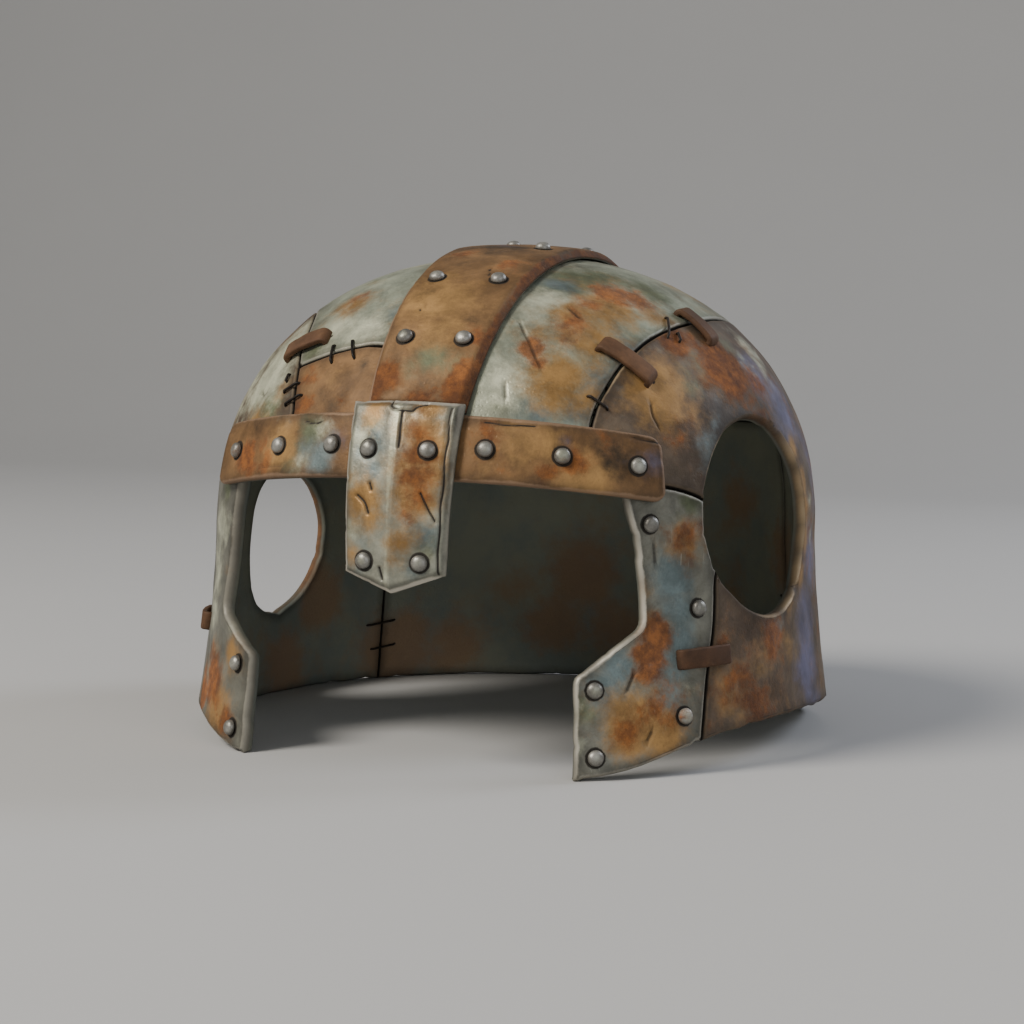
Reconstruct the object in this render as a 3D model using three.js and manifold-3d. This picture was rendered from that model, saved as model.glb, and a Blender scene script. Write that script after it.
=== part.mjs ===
// Riveted iron helmet. Eight wall plates are butted edge to edge, a crest band, a brow band and a
// nasal are riveted over them, and flat staples hold the seams. Millimetres, +Z up. The face looks
// along -Y and the wearer's left is +X. It stands on its rear rim and on the two cheek tips.

import * as THREE from "three";
import { mergeVertices } from "three/addons/utils/BufferGeometryUtils.js";
import Module from "manifold-3d";

const wasm = await Module();
wasm.setup();

// The skull form, measured outside
const halfWidth = 113;
const frontDepth = 119;
const rearDepth = 124;
const domeHeight = 181;
const springHeight = 76;
const footFlare = 7.7;
const planPower = 2.14;
const leanPower = 2.25;
const capPower = 2.21;
const flarePower = 1.5;

// The wall plates
const wall = 5;
const seamGap = 0.5;
const rimRise = 15.2;
const rearSeamAzimuth = 127.5;
const backPlateHeight = 118;
const cheekSeamShift = 9;

// Ear holes, drawn as circles on the side view: the right one sits lower and further back
const earHoles = [
  { side: 1, y: -34, z: 87, radius: 35 },
  { side: -1, y: 15, z: 65, radius: 29.5 },
];

// The brow band
const browHeight = 111;
const browSag = 7;
const browWidth = 21.5;
const browThickness = 4;
const browSpan = 46;
const browCorner = 5;
const browBevel = 1;
const browLap = 8;

// The crest band
const crestEndWidth = 36;
const crestTopWidth = 46;
const crestEndOffset = 2;
const crestTopOffset = 4.5;
const crestThickness = 3.5;
const crestBevel = 3;
const crestBevelDrop = 2.3;
const crestRearHeight = 122;

// The nasal
const nasalTopWidth = 38.5;
const nasalFootWidth = 35;
const nasalOffset = 1.3;
const nasalLength = 61.8;
const nasalPoint = 6.7;
const nasalThickness = 4.2;
const nasalRidge = 2;
const nasalBevel = 2.5;
const nasalBevelDrop = 2.2;
const nasalRise = 2;

// Rivets
const rivetHead = 6.2;
const rivetHeadHeight = 2.2;
const rivetShank = 3.2;

// Staples
const stapleWidth = 7;
const stapleStrap = 2.2;
const stapleBow = 1.2;
const stapleLeg = 3.2;

// Clearances
const lapGap = 0.4;
const seatGap = 0.3;
const shankGap = 0.3;
const crestBrowGap = 1.5;

// How finely the wall is faceted
const wallSides = 44;
const footRows = 3;
const domeRows = 8;
const headSides = 8;
const shankSides = 6;
const traceStep = 16;

// Heights that several pieces share
const openingTop = browHeight - browLap;
const crestFrontHeight = browHeight + browWidth / 2 + crestBrowGap;
const nasalTop = browHeight + browWidth / 2 + nasalRise;
const bandTop = lapGap + Math.max(browThickness, crestThickness);
const belowRim = -4;

// Lower edge: azimuth from the front, and rise as a share of rimRise
const rimLeft = [
  [32, 0],
  [38.8, 0.16],
  [47, 0.5],
  [53.5, 0.75],
  [67.6, 0.98],
  [83, 1],
  [106, 0.79],
  [rearSeamAzimuth, 0],
];
const rimRight = [
  [32, 0],
  [39, 0.16],
  [47, 0.42],
  [58, 0.62],
  [68, 0.5],
  [84, 0],
];

// Side edges of the face opening, upwards: azimuth, and height as a share of openingTop
const openingLeft = [
  [29.4, 0],
  [29.7, 0.344],
  [42.6, 0.5],
  [41.4, 0.751],
  [38.9, 0.917],
  [38.3, 1],
];
const openingRight = [
  [30, 0],
  [31, 0.344],
  [44.6, 0.466],
  [42.5, 0.7],
  [40.3, 0.91],
  [39.7, 1],
];

// Rear edge of a cheek plate, downwards: azimuth, and height as a share of openingTop
const cheekSeam = [
  [36, 0.955],
  [42, 0.96],
  [47.1, 0.965],
  [52, 0.945],
  [57, 0.91],
  [60, 0.825],
  [60, 0.72],
  [58.3, 0.652],
  [58.1, 0.534],
  [57.1, 0.427],
  [55.8, 0.34],
  [54.6, 0.214],
  [53.6, 0.114],
];

// Edge between crown and side plate, front to back: azimuth, and height as a share of domeHeight
const archLeft = [
  [32.9, 0.656],
  [34.8, 0.702],
  [37.9, 0.74],
  [42.1, 0.779],
  [48.7, 0.814],
  [54.1, 0.833],
  [60, 0.846],
  [66.9, 0.856],
  [78, 0.866],
  [90, 0.871],
  [107, 0.866],
  [120, 0.845],
  [131, 0.8],
  [139, 0.74],
];
const archRight = [
  [26.4, 0.662],
  [28.3, 0.697],
  [30.3, 0.73],
  [32.8, 0.762],
  [36.5, 0.791],
  [41.5, 0.834],
  [50, 0.862],
  [62, 0.874],
  [78, 0.873],
  [90, 0.871],
  [107, 0.866],
  [120, 0.845],
  [131, 0.8],
  [139, 0.74],
];
const archFront = { left: 32.5, right: 30.5 };
const archRear = 146;

// Upper edge of the patch, outwards from the crest: azimuth, and height as a share of domeHeight
const patchSeam = [
  [0, 0.79],
  [7, 0.802],
  [12.6, 0.809],
  [18.3, 0.8],
  [22.7, 0.791],
  [26.5, 0.78],
  [32.8, 0.762],
];

// Rivets through one plate: azimuth, and height as a share of openingTop
const cheekRivetsLeft = [
  [43.9, 0.839],
  [54.1, 0.552],
  [33.2, 0.295],
  [50.2, 0.197],
  [33.2, 0.076],
];
const cheekRivetsRight = [
  [35.7, 0.3],
  [34.8, 0.078],
];
const browRivets = [-38.8, -25, -12.5, 13.9, 27.1, 40.8];

// Rivets of the crest: side of its middle, and share of the way from its front end to its rear end
const crestRivets = [
  [-1, 0.101],
  [1, 0.101],
  [-1, 0.228],
  [1, 0.228],
  [1, 0.395],
  [-1, 0.54],
  [1, 0.6],
  [-1, 0.77],
  [1, 0.77],
  [-1, 0.9],
  [1, 0.9],
];

// Rivets of the nasal: shares of the way down from its top
const nasalRivets = [0.262, 0.875];

// How far out from the middle the paired rivets stand, as a share of the half width
const pairSpread = 0.54;

// Staples: azimuths and height shares of domeHeight of both ends
const staples = {
  staple_arch_left_front: [[38.2, 0.818], [48.6, 0.746]],
  staple_arch_left_top: [[70.5, 0.884], [73.4, 0.818]],
  staple_cheek_left: [[49.2, 0.219], [60.9, 0.224]],
  staple_arch_right_front: [[-40.9, 0.78], [-28.9, 0.822]],
  staple_arch_right_top: [[-101, 0.816], [-104, 0.892]],
  staple_cheek_right: [[-61, 0.221], [-73, 0.221]],
};

const finishes = {
  crown: new THREE.MeshStandardMaterial({ color: "#8b9488", roughness: 0.62, metalness: 0.7 }),
  side: new THREE.MeshStandardMaterial({ color: "#86735c", roughness: 0.68, metalness: 0.65 }),
  cheek: new THREE.MeshStandardMaterial({ color: "#7c8690", roughness: 0.62, metalness: 0.7 }),
  back: new THREE.MeshStandardMaterial({ color: "#6f7468", roughness: 0.68, metalness: 0.65 }),
  rust: new THREE.MeshStandardMaterial({ color: "#8a532e", roughness: 0.75, metalness: 0.55 }),
  nasal: new THREE.MeshStandardMaterial({ color: "#a9aba0", roughness: 0.55, metalness: 0.75 }),
  rivet: new THREE.MeshStandardMaterial({ color: "#b4b6b0", roughness: 0.4, metalness: 0.9 }),
  staple: new THREE.MeshStandardMaterial({ color: "#6e4530", roughness: 0.7, metalness: 0.5 }),
};

const radians = THREE.MathUtils.degToRad;
const lerp = THREE.MathUtils.lerp;
const signedPower = (value, power) => Math.sign(value) * Math.abs(value) ** power;

// Girth of the skull at a height, as a share of its girth at the spring line
function girth(z) {
  if (z < springHeight) {
    const down = (springHeight - z) / springHeight;
    return 1 + (footFlare / halfWidth) * down ** flarePower;
  }
  const up = Math.min(1, (z - springHeight) / (domeHeight - springHeight));
  return (1 - up ** leanPower) ** (1 / capPower);
}

const depthAt = (y) => (y < 0 ? frontDepth : rearDepth);

// The skull at an azimuth from the front, positive to the wearer's left, and a height
function onSkull(azimuth, z) {
  const aside = signedPower(Math.sin(radians(azimuth)), 2 / planPower);
  const back = -signedPower(Math.cos(radians(azimuth)), 2 / planPower);
  return new THREE.Vector3(halfWidth * aside, depthAt(back) * back, 0)
    .multiplyScalar(girth(z))
    .setZ(z);
}

// The front of the skull at a sideways place and a height
function onFront(x, z) {
  const rest = girth(z) ** planPower - Math.abs(x / halfWidth) ** planPower;
  return new THREE.Vector3(x, -frontDepth * rest ** (1 / planPower), z);
}

// A side of the skull at a lengthways place and a height
function onSide(side, y, z) {
  const rest = girth(z) ** planPower - Math.abs(y / depthAt(y)) ** planPower;
  return new THREE.Vector3(side * halfWidth * rest ** (1 / planPower), y, z);
}

function isInside(x, y, z) {
  const reach = Math.abs(x / halfWidth) ** planPower + Math.abs(y / depthAt(y)) ** planPower;
  return z < domeHeight && reach < girth(z) ** planPower;
}

// Where a ray from the spring line meets the skull, tilted up from the front in the plane at x
function overCrown(x, tilt) {
  const back = -Math.cos(radians(tilt));
  const up = Math.sin(radians(tilt));
  let near = 0;
  let far = domeHeight + rearDepth;
  for (let halving = 0; halving < 40; halving += 1) {
    const middle = (near + far) / 2;
    if (isInside(x, middle * back, springHeight + middle * up)) {
      near = middle;
    } else {
      far = middle;
    }
  }
  return new THREE.Vector3(x, near * back, springHeight + near * up);
}

// Tilt at which the skull's middle line reaches a height, in front or behind
const frontTilt = (z) => THREE.MathUtils.radToDeg(Math.atan2(z - springHeight, frontDepth * girth(z)));
const rearTilt = (z) => 180 - THREE.MathUtils.radToDeg(Math.atan2(z - springHeight, rearDepth * girth(z)));

function skullNormal({ x, y, z }) {
  const normal = new THREE.Vector3(
    signedPower(x, planPower - 1) / halfWidth ** planPower,
    signedPower(y, planPower - 1) / depthAt(y) ** planPower,
    0,
  );
  if (z < springHeight) {
    const down = (springHeight - z) / springHeight;
    const widening = (flarePower * footFlare * down ** (flarePower - 1)) / (halfWidth * springHeight);
    normal.z = widening * girth(z) ** (planPower - 1);
  } else {
    const up = Math.min(1, (z - springHeight) / (domeHeight - springHeight));
    const left = Math.max(1e-6, 1 - up ** leanPower);
    const narrowing = (leanPower * up ** (leanPower - 1)) / (capPower * (domeHeight - springHeight));
    normal.z = narrowing * left ** (planPower / capPower - 1);
  }
  return normal.normalize();
}

const raised = (point, height) => point.clone().addScaledVector(skullNormal(point), height);

// Value at a place in a table of [place, value] rows, straight between rows and level beyond them
function lookUp(table, place) {
  const next = table.findIndex((row) => row[0] > place);
  if (next < 0) {
    return table.at(-1)[1];
  }
  if (next === 0) {
    return table[0][1];
  }
  const [fromPlace, fromValue] = table[next - 1];
  const [toPlace, toValue] = table[next];
  return lerp(fromValue, toValue, (place - fromPlace) / (toPlace - fromPlace));
}

function rimHeight(azimuth) {
  const turned = ((azimuth + 540) % 360) - 180;
  return rimRise * lookUp(turned > 0 ? rimLeft : rimRight, Math.abs(turned));
}

// A closed body from a list of points and triangles, its faces pointing out
function bodyFrom(points, faces) {
  let volume = 0;
  for (let i = 0; i < faces.length; i += 3) {
    const [a, b, c] = [points[faces[i]], points[faces[i + 1]], points[faces[i + 2]]];
    volume += a.dot(b.clone().cross(c));
  }
  const geometry = new THREE.BufferGeometry().setFromPoints(points);
  geometry.setIndex(volume > 0 ? faces : faces.toReversed());
  return solid(geometry);
}

function solid(geometry) {
  const bare = new THREE.BufferGeometry();
  bare.setAttribute("position", geometry.getAttribute("position"));
  bare.setIndex(geometry.getIndex());
  const merged = mergeVertices(bare);
  const corners = merged.getIndex().array;
  const triVerts = [];
  for (let i = 0; i < corners.length; i += 3) {
    const [a, b, c] = [corners[i], corners[i + 1], corners[i + 2]];
    if (a !== b && b !== c && c !== a) {
      triVerts.push(a, b, c);
    }
  }
  return new wasm.Manifold(new wasm.Mesh({
    numProp: 3,
    vertProperties: new Float32Array(merged.getAttribute("position").array),
    triVerts: new Uint32Array(triVerts),
  }));
}

// A body lofted through rings of points, either closed on itself or fanned shut at both ends
function loft(rings, ends) {
  const count = rings[0].length;
  const points = rings.flat();
  const faces = [];
  const spans = ends ? rings.length - 1 : rings.length;
  for (let i = 0; i < spans; i += 1) {
    const here = i * count;
    const there = ((i + 1) % rings.length) * count;
    for (let j = 0; j < count; j += 1) {
      const next = (j + 1) % count;
      faces.push(here + j, here + next, there + next, here + j, there + next, there + j);
    }
  }
  if (ends) {
    const last = (rings.length - 1) * count;
    points.push(...ends);
    for (let j = 0; j < count; j += 1) {
      const next = (j + 1) % count;
      faces.push(next, j, points.length - 2);
      faces.push(last + j, last + next, points.length - 1);
    }
  }
  return bodyFrom(points, faces);
}

// A thick patch between a front and a back grid of points, closed round its border
function thickPatch(front, back) {
  const rows = front.length;
  const columns = front[0].length;
  const top = (i, j) => i * columns + j;
  const under = (i, j) => (rows + i) * columns + j;
  const faces = [];
  const quad = (a, b, c, d) => faces.push(a, b, c, a, c, d);
  for (let i = 0; i + 1 < rows; i += 1) {
    for (let j = 0; j + 1 < columns; j += 1) {
      quad(top(i, j), top(i + 1, j), top(i + 1, j + 1), top(i, j + 1));
      quad(under(i, j), under(i, j + 1), under(i + 1, j + 1), under(i + 1, j));
    }
  }
  for (let j = 0; j + 1 < columns; j += 1) {
    quad(top(0, j), top(0, j + 1), under(0, j + 1), under(0, j));
    quad(top(rows - 1, j + 1), top(rows - 1, j), under(rows - 1, j), under(rows - 1, j + 1));
  }
  for (let i = 0; i + 1 < rows; i += 1) {
    quad(top(i + 1, 0), top(i, 0), under(i, 0), under(i + 1, 0));
    quad(top(i, columns - 1), top(i + 1, columns - 1), under(i + 1, columns - 1), under(i, columns - 1));
  }
  return bodyFrom([...front.flat(), ...back.flat()], faces);
}

// A bent bar of metal: place(u, v, height) maps its stations, and its border is bevelled down
function bar(us, vs, place, { lift, thickness, bevelDrop }) {
  const isBorder = (i, j) => i === 0 || j === 0 || i === us.length - 1 || j === vs.length - 1;
  const faceHeight = (i, j) => lift + thickness - (isBorder(i, j) ? bevelDrop : 0);
  const front = us.map((u, i) => vs.map((v, j) => place(u, v, faceHeight(i, j), true)));
  const back = us.map((u) => vs.map((v) => place(u, v, lift, false)));
  return thickPatch(front, back);
}

// Stations across a bar: both edges, the inner ends of their bevels, and even steps between
function stations(low, high, bevel, steps) {
  const inner = Array.from({ length: steps + 1 }, (_, i) => lerp(low + bevel, high - bevel, i / steps));
  return [low, ...inner, high];
}

// The wall as one closed shell, from the crown down the outside and up the inside
function wholeWall() {
  const azimuths = Array.from({ length: wallSides }, (_, i) => (i * 360) / wallSides);
  const footHeight = (azimuth, row) => lerp(rimHeight(azimuth), springHeight, row / footRows);
  const outside = [];
  for (let row = 0; row < footRows; row += 1) {
    outside.push(azimuths.map((azimuth) => onSkull(azimuth, footHeight(azimuth, row))));
  }
  for (let row = 0; row < domeRows; row += 1) {
    const up = Math.sin(radians((row * 90) / domeRows)) ** (2 / leanPower);
    const z = lerp(springHeight, domeHeight, up);
    outside.push(azimuths.map((azimuth) => onSkull(azimuth, z)));
  }
  const inside = outside.map((ring) => ring.map((point) => raised(point, -wall)));
  inside[0] = outside[0].map((point) => {
    const inward = skullNormal(point).setZ(0).setLength(wall);
    return point.clone().sub(inward);
  });
  const tops = [new THREE.Vector3(0, 0, domeHeight), new THREE.Vector3(0, 0, domeHeight - wall)];
  return loft([...outside.toReversed(), ...inside], tops);
}

// A thin blade standing on the skull along a line, to part the wall there
function blade(line, isLoop) {
  const count = line.length;
  const reach = wall * 0.6;
  const rings = line.map((point, i) => {
    const before = line[isLoop ? (i + count - 1) % count : Math.max(0, i - 1)];
    const after = line[isLoop ? (i + 1) % count : Math.min(count - 1, i + 1)];
    const normal = skullNormal(point);
    const across = normal.clone().cross(after.clone().sub(before)).setLength(seamGap / 2);
    const outer = point.clone().addScaledVector(normal, reach);
    const inner = point.clone().addScaledVector(normal, -wall - reach);
    return [
      outer.clone().add(across),
      inner.clone().add(across),
      inner.clone().sub(across),
      outer.clone().sub(across),
    ];
  });
  const middle = (ring) => ring[0].clone().add(ring[2]).multiplyScalar(0.5);
  return loft(rings, isLoop ? null : [middle(rings[0]), middle(rings.at(-1))]);
}

// Points on the skull along rows of [azimuth, height], no further apart than traceStep
function trace(rows) {
  const line = [onSkull(...rows[0])];
  for (let i = 1; i < rows.length; i += 1) {
    const [fromAzimuth, fromZ] = rows[i - 1];
    const [toAzimuth, toZ] = rows[i];
    const length = onSkull(fromAzimuth, fromZ).distanceTo(onSkull(toAzimuth, toZ));
    const pieces = Math.ceil(length / traceStep);
    for (let j = 1; j <= pieces; j += 1) {
      const share = j / pieces;
      line.push(onSkull(lerp(fromAzimuth, toAzimuth, share), lerp(fromZ, toZ, share)));
    }
  }
  return line;
}

// Rows of a table with their height shares turned into heights, on one side of the helmet
const atHeight = (table, side, height) => table.map(([azimuth, share]) => [side * azimuth, share * height]);

function earHoleLine({ side, y, z, radius }) {
  const corners = 22;
  return Array.from({ length: corners }, (_, i) => {
    const turn = (i * 2 * Math.PI) / corners;
    return onSide(side, y + radius * Math.cos(turn), z + radius * Math.sin(turn));
  });
}

function middleLine() {
  const from = frontTilt(openingTop - seamGap);
  const to = rearTilt(backPlateHeight);
  const steps = 18;
  return Array.from({ length: steps + 1 }, (_, i) => overCrown(0, lerp(from, to, i / steps)));
}

function openingLine() {
  const left = atHeight(openingLeft, 1, openingTop);
  const right = atHeight(openingRight, -1, openingTop);
  const footLeft = [openingLeft[0][0], belowRim];
  const footRight = [-openingRight[0][0], belowRim];
  return trace([footLeft, ...left, ...right.toReversed(), footRight]);
}

function archLine(side, table, front) {
  const start = [side * front, openingTop];
  const end = [side * archRear, backPlateHeight];
  return trace([start, ...atHeight(table, side, domeHeight), end]);
}

function cheekLine(side, shift) {
  const seam = atHeight(cheekSeam, side, openingTop).map(([azimuth, z], i) => {
    const hidden = i < 2 ? 0 : shift;
    return [azimuth + side * hidden, z];
  });
  return trace([...seam, [seam.at(-1)[0], belowRim]]);
}

function seamBlades() {
  const rearFoot = (side) => [side * rearSeamAzimuth, belowRim];
  const rearHead = (side) => [side * rearSeamAzimuth, backPlateHeight];
  return [
    blade(openingLine()),
    ...earHoles.map((hole) => blade(earHoleLine(hole), true)),
    blade(middleLine()),
    blade(archLine(1, archLeft, archFront.left)),
    blade(archLine(-1, archRight, archFront.right)),
    blade(trace([rearFoot(1), rearHead(1)])),
    blade(trace([rearFoot(-1), rearHead(-1)])),
    blade(trace([rearHead(1), [360 - rearSeamAzimuth, backPlateHeight]])),
    blade(cheekLine(1, 0)),
    blade(cheekLine(-1, cheekSeamShift)),
    blade(trace(atHeight(patchSeam, -1, domeHeight))),
  ];
}

// The brow band: u is an azimuth, v runs from its lower edge at -1 to its upper edge at 1
const browCornerSpan = THREE.MathUtils.radToDeg(browCorner / frontDepth);

function browPlace(u, v, height) {
  const fromEnd = Math.min(1, (browSpan - Math.abs(u)) / browCornerSpan);
  const rounding = browCorner * (1 - Math.sqrt(1 - (1 - fromEnd) ** 2));
  const z = browHeight - browSag * (u / browSpan) ** 2 + v * (browWidth / 2 - rounding);
  return raised(onSkull(u, z), height);
}

function browBand() {
  const cornerShares = [0, 0.13, 0.5];
  const corner = cornerShares.map((share) => browSpan - share * browCornerSpan);
  const middle = stations(-browSpan, browSpan, browCornerSpan, 13).slice(1, -1);
  const us = [...corner.map((u) => -u), ...middle, ...corner.toReversed()];
  const vs = stations(-1, 1, (2 * browBevel) / browWidth, 3);
  return bar(us, vs, browPlace, { lift: lapGap, thickness: browThickness, bevelDrop: browBevel });
}

// The crest: u is a share of the way over the head, v runs from its right edge to its left edge
function crestPlace(u, v, height) {
  const tilt = lerp(frontTilt(crestFrontHeight), rearTilt(crestRearHeight), u);
  const width = lerp(crestEndWidth, crestTopWidth, Math.sin(Math.PI * u));
  const offset = lerp(crestEndOffset, crestTopOffset, Math.sin(Math.PI * u));
  return raised(overCrown(offset + (v * width) / 2, tilt), height);
}

function crestBand() {
  const us = stations(0, 1, crestBevel / (frontDepth + rearDepth), 20);
  const vs = stations(-1, 1, (2 * crestBevel) / crestTopWidth, 3);
  const shape = { lift: lapGap, thickness: crestThickness, bevelDrop: crestBevelDrop };
  return bar(us, vs, crestPlace, shape);
}

// The nasal: u runs across it from -1 to 1, v is a share of the way down from its top
function nasalPlace(u, v, height, isFace) {
  const foot = nasalTop - nasalLength + nasalPoint * Math.abs(u);
  const width = lerp(nasalTopWidth, nasalFootWidth, v);
  const ridge = isFace ? nasalRidge * (1 - Math.abs(u)) : 0;
  return raised(onFront(nasalOffset + (u * width) / 2, lerp(nasalTop, foot, v)), height + ridge);
}

function nasal() {
  const us = stations(-1, 1, (2 * nasalBevel) / nasalTopWidth, 4);
  const vs = stations(0, 1, nasalBevel / nasalLength, 6);
  const lift = bandTop + seatGap;
  return bar(us, vs, nasalPlace, { lift, thickness: nasalThickness, bevelDrop: nasalBevelDrop });
}

// A rivet's seat on a mapped face: its point and the way the face looks there
function seatOn(place, u, v, height) {
  const step = 0.01;
  const point = place(u, v, height, true);
  const alongU = place(u + step, v, height, true).sub(place(u - step, v, height, true));
  const alongV = place(u, v + step, height, true).sub(place(u, v - step, height, true));
  const normal = alongU.cross(alongV).normalize();
  return { point, normal: normal.dot(skullNormal(point)) < 0 ? normal.negate() : normal };
}

function rivetSeats() {
  const seats = [];
  const add = (name, seat, grip) => seats.push({ name, ...seat, grip });
  browRivets.forEach((azimuth, i) => {
    const grip = browThickness + lapGap + wall;
    add(`rivet_brow_${i + 1}`, seatOn(browPlace, azimuth, 0, lapGap + browThickness), grip);
  });
  crestRivets.forEach(([side, share], i) => {
    const seat = seatOn(crestPlace, share, side * pairSpread, lapGap + crestThickness);
    add(`rivet_crest_${i + 1}`, seat, crestThickness + lapGap + wall);
  });
  nasalRivets.forEach((share, row) => {
    const face = bandTop + seatGap + nasalThickness;
    for (const side of [-1, 1]) {
      const seat = seatOn(nasalPlace, side * pairSpread, share, face);
      const grip = row === 0 ? face + wall : nasalThickness;
      add(`rivet_nasal_${2 * row + (side > 0 ? 2 : 1)}`, seat, grip);
    }
  });
  const onWall = (azimuth, z) => {
    const point = onSkull(azimuth, z);
    return { point, normal: skullNormal(point) };
  };
  atHeight(cheekRivetsLeft, 1, openingTop).forEach(([azimuth, z], i) => {
    add(`rivet_cheek_left_${i + 1}`, onWall(azimuth, z), wall);
  });
  atHeight(cheekRivetsRight, -1, openingTop).forEach(([azimuth, z], i) => {
    add(`rivet_cheek_right_${i + 1}`, onWall(azimuth, z), wall);
  });
  return seats;
}

// A domed rivet about the Y axis, its seat at zero and its shank below
function rivetBody(grip) {
  const radius = rivetHead / 2;
  const profile = [
    [0, 0],
    [radius, 0],
    [radius * 0.86, rivetHeadHeight * 0.55],
    [radius * 0.46, rivetHeadHeight * 0.92],
    [0, rivetHeadHeight],
  ];
  const head = new THREE.LatheGeometry(profile.map(([x, y]) => new THREE.Vector2(x, y)), headSides);
  const length = grip + rivetHeadHeight / 2;
  const shank = new THREE.CylinderGeometry(rivetShank / 2, rivetShank / 2, length, shankSides);
  shank.translate(0, length / 2 - grip, 0);
  return solid(head.translate(0, seatGap, 0)).add(solid(shank));
}

const turnedTo = (normal) => new THREE.Quaternion().setFromUnitVectors(new THREE.Vector3(0, 1, 0), normal);

function rivetHole({ point, normal, grip }) {
  const spare = 2;
  const hole = new THREE.CylinderGeometry(
    rivetShank / 2 + shankGap,
    rivetShank / 2 + shankGap,
    grip + 2 * spare,
    shankSides,
  );
  hole.translate(0, -grip / 2, 0).applyQuaternion(turnedTo(normal));
  return solid(hole.translate(point.x, point.y, point.z));
}

// Frame of a staple: x along it, y away from the wall, and its half length
function stapleFrame([from, to]) {
  const ends = [from, to].map(([azimuth, share]) => onSkull(azimuth, share * domeHeight));
  const middle = onSkull((from[0] + to[0]) / 2, ((from[1] + to[1]) / 2) * domeHeight);
  const normal = skullNormal(middle);
  const along = ends[1].clone().sub(ends[0]);
  along.addScaledVector(normal, -along.dot(normal));
  const reach = along.length() / 2;
  along.normalize();
  const frame = new THREE.Matrix4().makeBasis(along, normal, along.clone().cross(normal));
  const chord = ends[0].clone().add(ends[1]).multiplyScalar(0.5);
  const sag = middle.clone().sub(chord).dot(normal);
  return { frame: frame.setPosition(middle), reach, sag };
}

function stapleGeometry({ frame, reach, sag }) {
  const outline = new THREE.Shape();
  const foot = -sag - stapleLeg;
  outline.moveTo(-reach, foot);
  outline.lineTo(-reach, stapleStrap * 0.5);
  outline.quadraticCurveTo(0, stapleStrap + 2 * stapleBow, reach, stapleStrap * 0.5);
  outline.lineTo(reach, foot);
  outline.lineTo(reach - stapleStrap, foot);
  outline.lineTo(reach - stapleStrap, seatGap - sag / 2);
  outline.quadraticCurveTo(0, 2 * seatGap + stapleBow, stapleStrap - reach, seatGap - sag / 2);
  outline.lineTo(stapleStrap - reach, foot);
  const strap = new THREE.ExtrudeGeometry(outline, {
    depth: stapleWidth,
    bevelEnabled: false,
    curveSegments: 4,
  });
  return strap.translate(0, 0, -stapleWidth / 2).applyMatrix4(frame);
}

function staplePockets({ frame, reach, sag }) {
  const deep = stapleLeg + sag + 2 * seatGap;
  return [-1, 1].map((end) => {
    const pocket = new THREE.BoxGeometry(stapleStrap + 2 * seatGap, 2 * deep, stapleWidth + 2 * seatGap);
    pocket.translate(end * (reach - stapleStrap / 2), 0, 0);
    return solid(pocket.applyMatrix4(frame));
  });
}

// A visible piece in the helmet's group
const helmet = new THREE.Group();

function addPiece(name, body, finish) {
  const { vertProperties, triVerts } = body.getMesh();
  const geometry = new THREE.BufferGeometry();
  geometry.setAttribute("position", new THREE.BufferAttribute(vertProperties, 3));
  geometry.setIndex(new THREE.BufferAttribute(triVerts, 1));
  const piece = new THREE.Mesh(geometry, finish);
  piece.name = name;
  helmet.add(piece);
  return piece;
}

const seats = rivetSeats();
const stapleFrames = Object.entries(staples).map(([name, ends]) => [name, stapleFrame(ends)]);
const holes = seats.map(rivetHole).reduce((all, hole) => all.add(hole));
const pockets = stapleFrames.flatMap(([, frame]) => staplePockets(frame));

// The wall is parted along its seams, and each plate is known by a place well inside it
const plates = [
  { name: "side_plate_left", azimuth: 105, share: 0.3, finish: finishes.side },
  { name: "side_plate_right", azimuth: -75, share: 0.62, finish: finishes.side },
  { name: "cheek_plate_left", azimuth: 46, share: 0.2, finish: finishes.cheek },
  { name: "cheek_plate_right", azimuth: -46, share: 0.2, finish: finishes.cheek },
  { name: "crown_plate_left", azimuth: 60, share: 0.93, finish: finishes.crown },
  { name: "crown_plate_right", azimuth: -60, share: 0.93, finish: finishes.crown },
  { name: "patch_plate", azimuth: -18, share: 0.71, finish: finishes.rust },
  { name: "back_plate", azimuth: 170, share: 0.3, finish: finishes.back },
];

const cuts = [...seamBlades(), ...pockets].reduce((all, cut) => all.add(cut));
const parted = wholeWall().subtract(cuts).subtract(holes).decompose();
for (const { name, azimuth, share, finish } of plates) {
  const place = raised(onSkull(azimuth, share * domeHeight), -wall / 2);
  const probe = solid(new THREE.BoxGeometry(1, 1, 1).translate(place.x, place.y, place.z));
  addPiece(name, parted.find((piece) => !piece.intersect(probe).isEmpty()), finish);
}

addPiece("crest_band", crestBand().subtract(holes), finishes.rust);
addPiece("brow_band", browBand().subtract(holes), finishes.rust);
addPiece("nasal", nasal().subtract(holes), finishes.nasal);

for (const { name, point, normal, grip } of seats) {
  const rivet = addPiece(name, rivetBody(grip), finishes.rivet);
  rivet.position.copy(point);
  rivet.quaternion.copy(turnedTo(normal));
}

for (const [name, frame] of stapleFrames) {
  addPiece(name, solid(stapleGeometry(frame)), finishes.staple);
}

export default helmet;
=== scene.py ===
import math

import bpy
import numpy as np
from mathutils import Matrix, Vector, noise
from mathutils.geometry import delaunay_2d_cdt
from mathutils.kdtree import KDTree


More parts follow.
